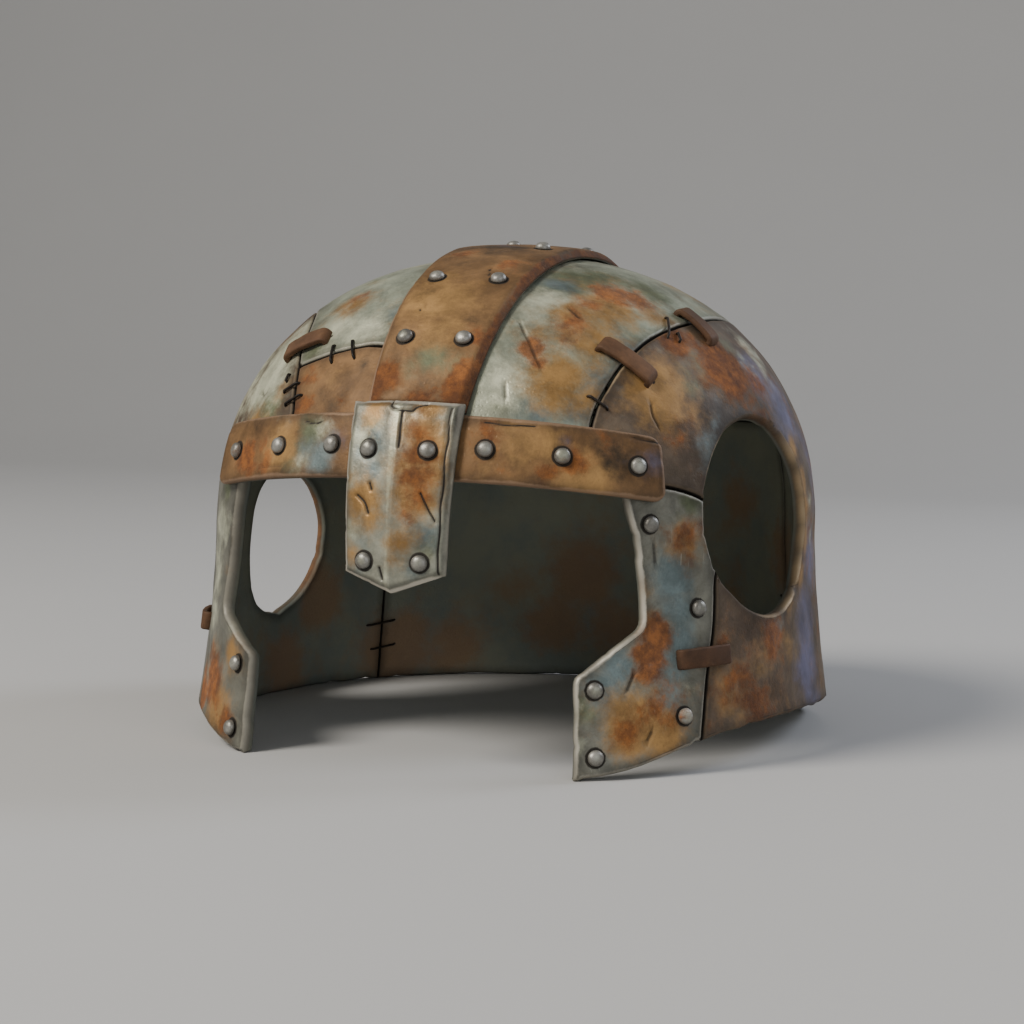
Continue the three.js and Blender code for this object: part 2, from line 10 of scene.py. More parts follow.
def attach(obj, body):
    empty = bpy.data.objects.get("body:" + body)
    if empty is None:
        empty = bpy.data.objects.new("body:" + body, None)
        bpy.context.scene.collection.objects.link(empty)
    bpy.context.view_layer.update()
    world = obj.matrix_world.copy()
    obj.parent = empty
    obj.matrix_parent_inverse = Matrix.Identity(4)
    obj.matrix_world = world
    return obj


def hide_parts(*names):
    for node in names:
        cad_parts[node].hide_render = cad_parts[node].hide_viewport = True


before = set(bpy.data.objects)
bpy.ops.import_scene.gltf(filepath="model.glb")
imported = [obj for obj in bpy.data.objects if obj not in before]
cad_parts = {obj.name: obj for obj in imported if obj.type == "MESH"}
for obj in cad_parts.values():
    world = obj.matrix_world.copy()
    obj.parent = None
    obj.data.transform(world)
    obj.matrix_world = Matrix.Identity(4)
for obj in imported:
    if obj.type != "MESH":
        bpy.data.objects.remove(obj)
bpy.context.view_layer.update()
print("stage: frame loaded,", len(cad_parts), "nodes")

# Lengths below are in millimetres and angles in degrees; meshes are scaled to metres as they are made
millimetre = 0.001
farAway = 12.0  # distances to edges and rivets are kept up to here

# The skull form, the same as the CAD source's
skull = {
    "halfWidth": 113.0,
    "frontDepth": 119.0,
    "rearDepth": 124.0,
    "domeHeight": 181.0,
    "springHeight": 76.0,
    "footFlare": 7.7,
    "planPower": 2.14,
    "leanPower": 2.25,
    "capPower": 2.21,
    "flarePower": 1.5,
    "belowRim": -6.0,
}


# The skull's size at a height, as a share of its size where the dome springs
def girth(z):
    z = np.asarray(z, float)
    spring = skull["springHeight"]
    down = np.clip((spring - z) / spring, 0, None)
    foot = 1 + skull["footFlare"] / skull["halfWidth"] * down ** skull["flarePower"]
    up = np.clip((z - spring) / (skull["domeHeight"] - spring), 0, 1)
    cap = (1 - up ** skull["leanPower"]) ** (1 / skull["capPower"])
    return np.where(z < spring, foot, cap)


def signedPower(value, power):
    return np.sign(value) * np.abs(value) ** power


def depthAt(y):
    return np.where(y < 0, skull["frontDepth"], skull["rearDepth"])


def planPoint(azimuth, share, z):
    turn = np.radians(azimuth)
    aside = signedPower(np.sin(turn), 2 / skull["planPower"])
    back = -signedPower(np.cos(turn), 2 / skull["planPower"])
    x, y = skull["halfWidth"] * aside * share, depthAt(back) * back * share
    return np.stack([x, y, z + 0 * aside], -1)


def onSkull(azimuth, z):
    azimuth, z = np.broadcast_arrays(np.asarray(azimuth, float), np.asarray(z, float))
    return planPoint(azimuth, girth(z), z)


def azimuthOf(points):
    power = skull["planPower"] / 2
    aside = signedPower(points[..., 0] / skull["halfWidth"], power)
    back = signedPower(-points[..., 1] / depthAt(points[..., 1]), power)
    return np.degrees(np.arctan2(aside, back))


def skullNormal(points):
    x, y, z = points[..., 0], points[..., 1], points[..., 2]
    plan, lean, cap = skull["planPower"], skull["leanPower"], skull["capPower"]
    spring, tall = skull["springHeight"], skull["domeHeight"] - skull["springHeight"]
    across = signedPower(x, plan - 1) / skull["halfWidth"] ** plan
    along = signedPower(y, plan - 1) / depthAt(y) ** plan
    down = np.clip((spring - z) / spring, 0, None)
    widening = skull["flarePower"] * skull["footFlare"] * down ** (skull["flarePower"] - 1)
    below = widening / (skull["halfWidth"] * spring) * girth(z) ** (plan - 1)
    up = np.clip((z - spring) / tall, 0, 1)
    left = np.maximum(1e-6, 1 - up ** lean)
    above = lean * up ** (lean - 1) / (cap * tall) * left ** (plan / cap - 1)
    normal = np.stack([across, along, np.where(z < spring, below, above)], -1)
    return normal / np.linalg.norm(normal, axis=-1, keepdims=True)


# Points lifted off the skull
def raised(points, height):
    height = np.broadcast_to(np.asarray(height, float), points.shape[:-1])
    return points + skullNormal(points) * height[..., None]


# The wall is laid out on a flat round chart: the angle is the azimuth, and the radius grows from the
# crown so that small shapes keep their form
def makeProfile():
    tall = skull["domeHeight"] - skull["springHeight"]
    turn = np.linspace(0.003, 1, 1200) * math.pi / 2
    share = np.sin(turn) ** (2 / skull["capPower"])
    z = skull["springHeight"] + tall * np.cos(turn) ** (2 / skull["leanPower"])
    foot = np.linspace(skull["springHeight"], skull["belowRim"], 160)[1:]
    share = np.concatenate([share, girth(foot)])
    z = np.concatenate([z, foot])
    radius = share * (2 * skull["halfWidth"] + skull["frontDepth"] + skull["rearDepth"]) / 4
    step = np.hypot(np.diff(radius), np.diff(z))
    middle = (radius[1:] + radius[:-1]) / 2
    chart = radius[0] * np.exp(np.concatenate([[0], np.cumsum(step / middle)]))
    length = radius[0] + np.concatenate([[0], np.cumsum(step)])
    rows = {"chart": chart, "share": share, "z": z, "radius": radius, "length": length}
    tops = {"chart": 0, "share": 0, "z": skull["domeHeight"], "radius": 0, "length": 0}
    return {name: np.concatenate([[tops[name]], column]) for name, column in rows.items()}


profile = makeProfile()


# Rows of azimuth and height become places on the chart
def toChart(rows):
    rows = np.asarray(rows, float)
    reach = np.interp(-rows[:, 1], -profile["z"], profile["chart"])
    turn = np.radians(rows[:, 0])
    return np.stack([reach * np.sin(turn), -reach * np.cos(turn)], -1)


# Places on the chart become points on the skull
def fromChart(places):
    reach = np.hypot(places[:, 0], places[:, 1])
    azimuth = np.degrees(np.arctan2(places[:, 0], -places[:, 1]))
    share = np.interp(reach, profile["chart"], profile["share"])
    return planPoint(azimuth, share, np.interp(reach, profile["chart"], profile["z"]))


# Chart lengths for one millimetre on the helmet
def chartScale(places):
    reach = np.hypot(places[:, 0], places[:, 1])
    radius = np.interp(reach, profile["chart"], profile["radius"])
    return np.where(reach < 1, 1.0, reach / np.maximum(radius, 1e-6))


def treeOf(points):
    tree = KDTree(len(points))
    for i, point in enumerate(points):
        tree.insert(point, i)
    tree.balance()
    return tree


def distances(tree, points):
    return np.array([tree.find(point)[2] for point in points])


def noiseOf(points, size, seed):
    shift = Vector((seed * 17.3, seed * 5.1, seed * 9.7))
    return np.array([noise.noise(Vector(point) / size + shift) for point in points.tolist()])


# Hammer marks: shallow round hollows spread at random, 0 between them and 1 at their middles
def hammerMarks(points, size, seed):
    shift = Vector((seed * 3.7, seed * 11.9, seed * 7.3))
    nearest = [noise.voronoi(Vector(point) / size + shift)[0][0] for point in points.tolist()]
    return np.clip(1 - np.array(nearest) / 0.75, 0, 1) ** 1.3


def smoothStep(low, high, value):
    share = np.clip((value - low) / (high - low), 0, 1)
    return share * share * (3 - 2 * share)


# Height under a rounded edge at a distance from it
def roundedEdge(distance, radius):
    inside = radius - np.clip(distance, 0, radius)
    return np.sqrt(np.maximum(radius * radius - inside * inside, 0)) - radius


# Colour hints painted on the wall: azimuth, height, radius and strength of each blotch
hintKinds = ["rust", "ochre", "pale", "cool", "violet", "green", "dark", "bare"]


def hintsAt(points, hints, bare=0.0):
    painted = {kind: np.zeros(len(points)) for kind in hintKinds}
    painted["bare"] += bare
    for kind, blotches in hints.items():
        for azimuth, z, radius, strength in blotches:
            away = np.linalg.norm(points - onSkull(azimuth, z), axis=1) / radius
            painted[kind] = np.maximum(painted[kind], strength * np.exp(-away * away))
    return painted


# A shell's layers: the values of its outer side, then those of its inner side
def shellLayers(tints, insideTints, edge, seats, cracked):
    pairs = {kind: (tints[kind], insideTints[kind]) for kind in hintKinds}
    edge = np.minimum(edge, farAway)
    none = np.zeros(len(edge))
    pairs.update({"edge": (edge, edge), "seat": seats, "crack": cracked, "inner": (none, none + 1)})
    return {name: np.concatenate(pair) for name, pair in pairs.items()}


# Layers for a small piece: no tint, and nothing near
def plainLayers(count):
    layers = {kind: np.zeros(count) for kind in hintKinds}
    layers["edge"] = np.full(count, farAway)
    layers["seat"] = np.full(count, farAway)
    layers["crack"] = np.zeros(count)
    layers["inner"] = np.zeros(count)
    return layers


# Four-sided faces between rings of points that all have the same count
def ringFaces(start, rings, count):
    faces = []
    for i in range(rings - 1):
        for k in range(count):
            a, b = start + i * count + k, start + i * count + (k + 1) % count
            faces.append((a, b, b + count, a + count))
    return faces


def addMesh(name, points, faces, layers, finish, replaced):
    material, slotName = finish
    pieceName = name.replace("_", "-")
    mesh = bpy.data.meshes.new(pieceName)
    mesh.from_pydata((np.asarray(points) * millimetre).tolist(), [], faces)
    mesh.validate()
    for layer, values in layers.items():
        attribute = mesh.attributes.new(layer, "FLOAT", "POINT")
        attribute.data.foreach_set("value", np.asarray(values, np.float32))
    mesh.shade_smooth()
    mesh.materials.append(material)
    piece = bpy.data.objects.new(pieceName, mesh)
    bpy.context.scene.collection.objects.link(piece)
    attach(piece, "root")
    if replaced:
        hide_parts(*replaced)


# A socket is fed by a fixed value or by a link
def feed(tree, socket, value):
    if isinstance(value, (int, float, tuple)):
        socket.default_value = value
    else:
        tree.links.new(value, socket)


def mathNode(tree, operation, first, second=None, third=None, clamp=False):
    node = tree.nodes.new("ShaderNodeMath")
    node.operation = operation
    node.use_clamp = clamp
    for i, value in enumerate([first, second, third]):
        if value is not None:
            feed(tree, node.inputs[i], value)
    return node.outputs[0]


def scaled(tree, value, factor):
    return mathNode(tree, "MULTIPLY", value, factor)


def added(tree, first, second):
    return mathNode(tree, "ADD", first, second)


def larger(tree, first, second):
    return mathNode(tree, "MAXIMUM", first, second)


def noiseNode(tree, vector, scale, detail=4.0, roughness=0.6, distortion=0.0):
    node = tree.nodes.new("ShaderNodeTexNoise")
    values = {"Vector": vector, "Scale": scale, "Detail": detail, "Roughness": roughness}
    for name, value in {**values, "Distortion": distortion}.items():
        feed(tree, node.inputs[name], value)
    return node.outputs["Fac"]


def rangeNode(tree, value, low, high, toLow=0.0, toHigh=1.0, smooth=True):
    node = tree.nodes.new("ShaderNodeMapRange")
    node.interpolation_type = "SMOOTHSTEP" if smooth else "LINEAR"
    values = {"Value": value, "From Min": low, "From Max": high, "To Min": toLow, "To Max": toHigh}
    for name, given in values.items():
        feed(tree, node.inputs[name], given)
    return node.outputs["Result"]


def mixColour(tree, factor, first, second, mode="MIX"):
    node = tree.nodes.new("ShaderNodeMix")
    node.data_type = "RGBA"
    node.blend_type = mode
    for i, value in [(0, factor), (6, first), (7, second)]:
        feed(tree, node.inputs[i], (*value, 1.0) if isinstance(value, tuple) else value)
    return node.outputs[2]


def shifted(tree, vector, seed):
    node = tree.nodes.new("ShaderNodeVectorMath")
    node.operation = "ADD"
    feed(tree, node.inputs[0], vector)
    feed(tree, node.inputs[1], (seed, seed, seed) if isinstance(seed, (int, float)) else seed)
    return node.outputs["Vector"]


# Node groups. Each is built once and placed in the materials that need it; all take a place and numbers
def newGroup(name, numbers, outputs):
    group = bpy.data.node_groups.new(name, "ShaderNodeTree")
    group.interface.new_socket("Vector", in_out="INPUT", socket_type="NodeSocketVector")
    for socketName, value in numbers.items():
        socket = group.interface.new_socket(socketName, in_out="INPUT", socket_type="NodeSocketFloat")
        socket.default_value = value
    for socketName in outputs:
        group.interface.new_socket(socketName, in_out="OUTPUT", socket_type="NodeSocketFloat")
    given = group.nodes.new("NodeGroupInput").outputs
    return group, given, group.nodes.new("NodeGroupOutput").inputs


# Blotches: noise in two sizes, pushed up where a hint is painted
def makeBlotchGroup():
    numbers = {"Scale": 30.0, "Hint": 0.0, "Cover": 0.3, "Softness": 0.2, "Seed": 0.0}
    group, given, made = newGroup("blotches", numbers, ["Mask"])
    moved = shifted(group, given["Vector"], given["Seed"])
    broad = noiseNode(group, moved, given["Scale"], 3.0, 0.5, 0.4)
    fineScale = scaled(group, given["Scale"], 5.5)
    fine = noiseNode(group, moved, fineScale, 6.0, 0.68)
    both = mathNode(group, "MULTIPLY_ADD", fine, 0.5, scaled(group, broad, 0.5))
    spread = rangeNode(group, both, 0.0, 1.0, -0.4, 1.4, False)
    hinted = mathNode(group, "MULTIPLY_ADD", given["Hint"], 0.72, spread)
    low = mathNode(group, "MULTIPLY_ADD", given["Cover"], -0.7, 0.80)
    high = added(group, low, given["Softness"])
    group.links.new(rangeNode(group, hinted, low, high), made["Mask"])
    return group


# Worn edges: a broken border within a distance of the edge
def makeWearGroup():
    group, given, made = newGroup("edgeWear", {"Edge": farAway, "Width": 1.2, "Breakup": 1.6}, ["Mask"])
    broken = noiseNode(group, given["Vector"], 260.0, 4.0, 0.7)
    patchy = noiseNode(group, given["Vector"], 45.0, 2.0, 0.5)
    uneven = added(group, scaled(group, broken, 0.55), scaled(group, patchy, 0.9))
    centred = mathNode(group, "SUBTRACT", uneven, 0.72)
    pushed = scaled(group, centred, given["Breakup"])
    reach = mathNode(group, "SUBTRACT", given["Edge"], scaled(group, pushed, 2.4))
    outer = scaled(group, given["Width"], 1.35)
    inner = scaled(group, given["Width"], 0.55)
    group.links.new(rangeNode(group, reach, outer, inner), made["Mask"])
    return group


# Grime along the edges and in the cracks, and round the rivets and staple feet a dark ring that is partly
# dirt and partly painted shade where they meet the plate; the second output is its blackest part
def makeGrimeShadeGroup():
    numbers = {"Edge": farAway, "Seat": farAway, "Crack": 0.0}
    group, given, made = newGroup("grimeAndShade", numbers, ["Mask", "Deep"])
    uneven = noiseNode(group, given["Vector"], 120.0, 5.0, 0.65)
    edge = rangeNode(group, added(group, given["Edge"], scaled(group, uneven, 3.2)), 6.4, 1.2)
    # Round the rivets and staple feet: a ring of dirt and painted shade
    seat = rangeNode(group, added(group, given["Seat"], scaled(group, uneven, 1.2)), 4.55, 4.05)
    either = larger(group, scaled(group, edge, 0.6), seat)
    cracked = larger(group, either, scaled(group, given["Crack"], 0.8))
    group.links.new(cracked, made["Mask"])
    deep = larger(group, rangeNode(group, given["Crack"], 0.45, 0.85), scaled(group, seat, 0.75))
    group.links.new(deep, made["Deep"])
    return group


# The iron's own grain: rolling marks, rust crust and pits as a height, a tone, and fine scratches
def makeGrainGroup():
    numbers = {"Rust": 0.0, "Pitting": 0.5}
    group, given, made = newGroup("ironGrain", numbers, ["Height", "Tone", "Scratches"])
    rolling = noiseNode(group, given["Vector"], 140.0, 5.0, 0.6)
    rough = noiseNode(group, given["Vector"], 900.0, 6.0, 0.75)
    pits = group.nodes.new("ShaderNodeTexVoronoi")
    pits.inputs["Scale"].default_value = 560.0
    group.links.new(given["Vector"], pits.inputs["Vector"])
    pitted = rangeNode(group, pits.outputs["Distance"], 0.0, 0.42, -1.0, 0.0)
    pitMask = rangeNode(group, noiseNode(group, given["Vector"], 70.0, 3.0, 0.6), 0.48, 0.62)
    pitDepth = scaled(group, scaled(group, pitted, pitMask), given["Pitting"])
    crust = scaled(group, rough, mathNode(group, "MULTIPLY_ADD", given["Rust"], 0.9, 0.18))
    height = added(group, scaled(group, rolling, 0.8), added(group, crust, pitDepth))
    group.links.new(height, made["Height"])
    tone = added(group, scaled(group, rolling, 0.55), scaled(group, rough, 0.45))
    group.links.new(tone, made["Tone"])
    stretch = group.nodes.new("ShaderNodeMapping")
    stretch.inputs["Rotation"].default_value = (0.5, 0.9, 0.35)
    stretch.inputs["Scale"].default_value = (1.0, 1.0, 0.07)
    group.links.new(given["Vector"], stretch.inputs["Vector"])
    lines = noiseNode(group, stretch.outputs["Vector"], 1500.0, 2.0, 0.5)
    sparse = rangeNode(group, noiseNode(group, given["Vector"], 38.0, 2.0, 0.5), 0.5, 0.66)
    group.links.new(scaled(group, rangeNode(group, lines, 0.68, 0.76), sparse), made["Scratches"])
    return group


blotchGroup = makeBlotchGroup()
wearGroup = makeWearGroup()
grimeShadeGroup = makeGrimeShadeGroup()
grainGroup = makeGrainGroup()


def placeGroup(tree, group, values):
    node = tree.nodes.new("ShaderNodeGroup")
    node.node_tree = group
    for name, value in values.items():
        feed(tree, node.inputs[name], value)
    return node.outputs


def layerNode(tree, name):
    node = tree.nodes.new("ShaderNodeAttribute")
    node.attribute_name = name
    return node.outputs["Fac"]


# Colours of the iron's finishes and tints, as linear red, green and blue. The grime colour also paints
# shade round the rivets, and the violet a cool rim light down the left side plate
palette = {
    "rust": (0.295, 0.102, 0.022),
    "rustDeep": (0.138, 0.047, 0.014),
    "stain": (0.240, 0.120, 0.045),
    "ochre": (0.330, 0.188, 0.066),
    "pale": (0.490, 0.495, 0.365),
    "cool": (0.150, 0.192, 0.190),
    "violet": (0.122, 0.116, 0.176),
    "green": (0.125, 0.140, 0.078),
    "dark": (0.035, 0.024, 0.013),
    "grimeAndShade": (0.018, 0.014, 0.010),
    "inside": (0.300, 0.310, 0.240),
    "insideCool": (0.235, 0.265, 0.235),
    "insideRust": (0.370, 0.200, 0.095),
}

# Tints laid over the two tones in this order: blotch scale, softness and shift of the seed
tintBlotches = {
    "dark": (26.0, 0.55, 1.7),
    "green": (24.0, 0.6, 3.1),
    "cool": (22.0, 0.6, 4.9),
    "violet": (20.0, 0.6, 6.1),
    "pale": (34.0, 0.6, 8.3),
    "ochre": (30.0, 0.6, 9.7),
}


# Old iron: a patina in two tones, blotches of rust and other tints, worn edges, grime in the seams, and
# dirt with painted shade round the rivets
def makeIron(name, look):
    material = bpy.data.materials.new(name)
    material.use_nodes = True
    tree = material.node_tree
    shader = tree.nodes["Principled BSDF"]
    place = tree.nodes.new("ShaderNodeTexCoord").outputs["Object"]
    layers = {kind: layerNode(tree, kind) for kind in ["edge", "seat", "crack", "inner", *hintKinds]}
    seed = look["seed"]

    def blotches(kind, scale, cover, softness, seedHere):
        values = {"Vector": place, "Scale": scale, "Hint": layers[kind], "Cover": cover}
        return placeGroup(tree, blotchGroup, {**values, "Softness": softness, "Seed": seedHere})["Mask"]

    rust = blotches("rust", look["rustScale"], look["rust"], 0.46, seed)
    grain = placeGroup(tree, grainGroup, {"Vector": place, "Rust": rust, "Pitting": look["pitting"]})
    toneNoise = noiseNode(tree, shifted(tree, place, seed), look["toneScale"], 5.0, 0.62)
    tones = rangeNode(tree, toneNoise, 0.34, 0.66)
    colour = mixColour(tree, tones, look["first"], look["second"])
    masks = {}
    for kind, (scale, softness, shift) in tintBlotches.items():
        masks[kind] = blotches(kind, scale, look[kind], softness, seed + shift)
        colour = mixColour(tree, masks[kind], colour, palette[kind])
    rustTone = rangeNode(tree, noiseNode(tree, place, 210.0, 5.0, 0.7), 0.35, 0.68)
    rustColour = mixColour(tree, rustTone, palette["rustDeep"], palette["rust"])
    rustColour = mixColour(tree, rangeNode(tree, rust, 0.2, 0.75), palette["stain"], rustColour)
    colour = mixColour(tree, scaled(tree, rust, 0.92), colour, rustColour)
    mottled = noiseNode(tree, shifted(tree, place, seed + 2.3), 62.0, 5.0, 0.65, 0.6)
    tone = mathNode(tree, "MULTIPLY_ADD", mottled, 0.6, scaled(tree, grain["Tone"], 0.4))
    toned = rangeNode(tree, tone, 0.36, 0.64, 0.55, 1.35)
    shade = tree.nodes.new("ShaderNodeCombineColor")
    for socket in shade.inputs:
        tree.links.new(toned, socket)
    colour = mixColour(tree, 0.8, colour, shade.outputs["Color"], "MULTIPLY")
    insideTone = blotches("rust", 20.0, 0.4, 0.5, 12.0)
    insideShade = rangeNode(tree, noiseNode(tree, shifted(tree, place, 3.0), 30.0, 5.0, 0.65), 0.35, 0.65)
    inside = mixColour(tree, insideShade, palette["inside"], palette["insideCool"])
    inside = mixColour(tree, scaled(tree, insideTone, 0.62), inside, palette["insideRust"])
    innerMask = rangeNode(tree, layers["inner"], 0.45, 0.95)
    colour = mixColour(tree, scaled(tree, innerMask, look["insideDark"]), colour, inside)
    grimeShadeValues = {"Vector": place, "Edge": layers["edge"], "Seat": layers["seat"]}
    grimeAndShade = placeGroup(tree, grimeShadeGroup, {**grimeShadeValues, "Crack": layers["crack"]})
    colour = mixColour(tree, scaled(tree, grimeAndShade["Mask"], look["grimeAndShade"]), colour, palette["grimeAndShade"])
    wearValues = {"Vector": place, "Edge": layers["edge"], "Width": look["wearWidth"]}
    wear = placeGroup(tree, wearGroup, {**wearValues, "Breakup": look["wearBreakup"]})["Mask"]
    worn = mathNode(tree, "MULTIPLY", wear, layers["bare"], clamp=True)
    notInside = mathNode(tree, "SUBTRACT", 1.0, scaled(tree, innerMask, 0.8))
    worn = scaled(tree, worn, notInside)
    scratched = scaled(tree, grain["Scratches"], look["scratches"])
    bare = larger(tree, worn, scaled(tree, scratched, notInside))
    colour = mixColour(tree, bare, colour, look["worn"])
    colour = mixColour(tree, grimeAndShade["Deep"], colour, palette["grimeAndShade"])
    tree.links.new(colour, shader.inputs["Base Color"])
    shader.inputs["Specular IOR Level"].default_value = look["specular"]

    covered = larger(tree, rust, scaled(tree, grimeAndShade["Mask"], 0.7))
    metal = rangeNode(tree, covered, 0.0, 1.0, look["metallic"], 0.05, False)
    metal = mathNode(tree, "MULTIPLY_ADD", bare, 0.35, metal, clamp=True)
    tree.links.new(metal, shader.inputs["Metallic"])
    covered = mathNode(tree, "MULTIPLY_ADD", masks["pale"], -0.12, covered, clamp=True)
    roughness = rangeNode(tree, covered, 0.0, 1.0, look["roughness"], 0.82, False)
    roughness = mathNode(tree, "SUBTRACT", roughness, 0.15)
    roughness = mathNode(tree, "MULTIPLY_ADD", grain["Tone"], 0.3, roughness)
    roughness = mathNode(tree, "MULTIPLY_ADD", bare, -0.14, roughness, clamp=True)
    tree.links.new(roughness, shader.inputs["Roughness"])
    bump = tree.nodes.new("ShaderNodeBump")
    bump.inputs["Strength"].default_value = look["bump"]
    bump.inputs["Distance"].default_value = 0.0006
    tree.links.new(grain["Height"], bump.inputs["Height"])
    tree.links.new(bump.outputs["Normal"], shader.inputs["Normal"])
    return material


plainLook = {
    "seed": 0.0,
    "first": (0.20, 0.20, 0.16),
    "second": (0.33, 0.34, 0.28),
    "toneScale": 22.0,
    "rust": 0.30,
    "rustScale": 26.0,
    "dark": 0.12,
    "green": 0.22,
    "cool": 0.22,
    "violet": 0.0,
    "pale": 0.22,
    "ochre": 0.24,
    "pitting": 0.22,
    "metallic": 0.5,
    "roughness": 0.48,
    "specular": 0.36,
    "bump": 0.6,
    "worn": (0.560, 0.520, 0.430),
    "wearWidth": 1.1,
    "wearBreakup": 1.0,
    "grimeAndShade": 0.85,
    "scratches": 0.35,
    "insideDark": 0.95,
}

crownLook = {
    "seed": 0.4,
    "first": (0.200, 0.205, 0.150),
    "second": (0.330, 0.355, 0.270),
    "rust": 0.32,
    "ochre": 0.34,
    "green": 0.32,
    "cool": 0.30,
}
crownIron = makeIron("crownIron", {**plainLook, **crownLook})
sideLook = {
    "seed": 1.3,
    "first": (0.080, 0.052, 0.032),
    "second": (0.145, 0.108, 0.074),
    "pale": 0.12,
    "rust": 0.36,
    "ochre": 0.36,
    "cool": 0.28,
    "worn": (0.440, 0.330, 0.200),
    "metallic": 0.35,
    "roughness": 0.6,
}
sideIron = makeIron("sideIron", {**plainLook, **sideLook})
cheekLook = {
    "seed": 2.9,
    "first": (0.125, 0.122, 0.098),
    "second": (0.210, 0.205, 0.165),
    "pale": 0.1,
    "rust": 0.28,
    "ochre": 0.32,
    "green": 0.3,
}
cheekIron = makeIron("cheekIron", {**plainLook, **cheekLook})
bandLook = {
    "seed": 5.2,
    "first": (0.125, 0.066, 0.026),
    "second": (0.215, 0.120, 0.050),
    "pale": 0.0,
    "green": 0.12,
    "cool": 0.04,
    "rust": 0.2,
    "ochre": 0.3,
    "dark": 0.24,
    "metallic": 0.3,
    "roughness": 0.58,
    "worn": (0.400, 0.260, 0.165),
}
rustedBand = makeIron("rustedBand", {**plainLook, **bandLook})
paleLook = {
    "seed": 7.7,
    "first": (0.210, 0.210, 0.165),
    "second": (0.340, 0.340, 0.270),
    "rust": 0.18,
    "pale": 0.16,
    "pitting": 0.1,
    "roughness": 0.44,
}
paleIron = makeIron("paleIron", {**plainLook, **paleLook})
rivetLook = {
    "seed": 9.1,
    "first": (0.17, 0.16, 0.14),
    "second": (0.33, 0.32, 0.29),
    "toneScale": 120.0,
    "rustScale": 90.0,
    "rust": 0.14,
    "green": 0.0,
    "cool": 0.0,
    "pale": 0.1,
    "ochre": 0.1,
    "metallic": 0.65,
    "roughness": 0.44,
    "insideDark": 0.6,
}
rivetSteel = makeIron("rivetSteel", {**plainLook, **rivetLook})
stapleLook = {
    "seed": 10.6,
    "first": (0.125, 0.056, 0.025),
    "second": (0.235, 0.118, 0.056),
    "rustScale": 60.0,
    "rust": 0.3,
    "green": 0.0,
    "cool": 0.05,
    "pale": 0.0,
    "ochre": 0.14,
    "metallic": 0.35,
    "roughness": 0.6,
    "worn": (0.260, 0.150, 0.095),
}
stapleIron = makeIron("stapleIron", {**plainLook, **stapleLook})
wireLook = {
    "seed": 12.2,
    "first": (0.016, 0.013, 0.011),
    "second": (0.035, 0.026, 0.019),
    "rust": 0.2,
    "pale": 0.0,
    "ochre": 0.0,
    "green": 0.0,
    "cool": 0.0,
}
wireIron = makeIron("wireIron", {**plainLook, **wireLook})
print("stage: materials made")

# The wall: eight plates parted along seams. Rows are azimuth and height, as in the CAD source
openingTop = 103.0
backPlateHeight = 118.0
rearSeamAzimuth = 127.5
rimRise = 15.2
wall = {
    "thickness": 5.0,
    "seamGap": 0.42,
    "outerRound": 1.1,
    "innerRound": 0.7,
    "waviness": 0.55,
    "waveSize": 46.0,
    "hammering": 0.58,
    "hammerSize": 15.0,
    "raggedness": 0.5,
    "lineStep": 1.8,
    "gridStep": 2.0,
    "lineRows": [0.75, 1.3, 2.2],
    "crackRows": [0.0, 0.4, 0.9, 1.6],
    "crackWidth": 0.55,
    "crackDepth": 0.8,
    "crackRowClear": 1.2,  # a crack's rows keep off the lines by this
    "crackRowShare": 0.8,
    "lineRowClear": 2.0,  # a line's rows keep off the cracks by this
    "lineRowShare": 0.86,
    "crackClear": 2.3,  # the grid keeps off the cracks and the lines by this and the next
    "lineClear": 3.1,
    "raggedSize": 9.0,
    "nickSize": 4.5,
    "nickDepth": 1.6,
    "nickReach": 5.0,
    "thinning": 0.3,
    "dent": 0.35,  # the iron is beaten down round the rivets
    "dentReach": 7.5,
    "arrisAway": 1.35,  # a dark line runs beside the free edges
    "arrisWidth": 0.42,
    "arrisBreaks": 12.0,
    "arrisDark": 0.8,
}
rimLeft = [
    (32, 0), (38.8, 0.16), (47, 0.5), (53.5, 0.75), (67.6, 0.98), (83, 1), (106, 0.79),
    (rearSeamAzimuth, 0),
]
rimRight = [(32, 0), (39, 0.16), (47, 0.42), (58, 0.62), (68, 0.5), (84, 0)]
openingLeft = [(29.4, 0), (29.7, 0.344), (42.6, 0.5), (41.4, 0.751), (38.9, 0.917), (38.3, 1)]
openingRight = [(30, 0), (31, 0.344), (44.6, 0.466), (42.5, 0.7), (40.3, 0.91), (39.7, 1)]
cheekSeam = [
    (36, 0.955), (42, 0.96), (47.1, 0.965), (52, 0.945), (57, 0.91), (60, 0.825), (60, 0.72),
    (58.3, 0.652), (58.1, 0.534), (57.1, 0.427), (55.8, 0.34), (54.6, 0.214), (53.6, 0.114),
]
archLeft = [
    (32.9, 0.656), (34.8, 0.702), (37.9, 0.74), (42.1, 0.779), (48.7, 0.814), (54.1, 0.833),
    (60, 0.846), (66.9, 0.856), (78, 0.866), (90, 0.871), (107, 0.866), (120, 0.845), (131, 0.8),
    (139, 0.74),
]
archRight = [
    (26.4, 0.662), (28.3, 0.697), (30.3, 0.73), (32.8, 0.762), (36.5, 0.791), (41.5, 0.834),
    (50, 0.862), (62, 0.874), (78, 0.873), (90, 0.871), (107, 0.866), (120, 0.845), (131, 0.8),
    (139, 0.74),
]
patchSeam = [
    (0, 0.79), (7, 0.802), (12.6, 0.809), (18.3, 0.8), (22.7, 0.791), (26.5, 0.78), (33.6, 0.758),
]
earHoles = [
    {"side": 1, "y": -34.0, "z": 87.0, "radius": 35.0},
    {"side": -1, "y": 15.0, "z": 65.0, "radius": 29.5},
]

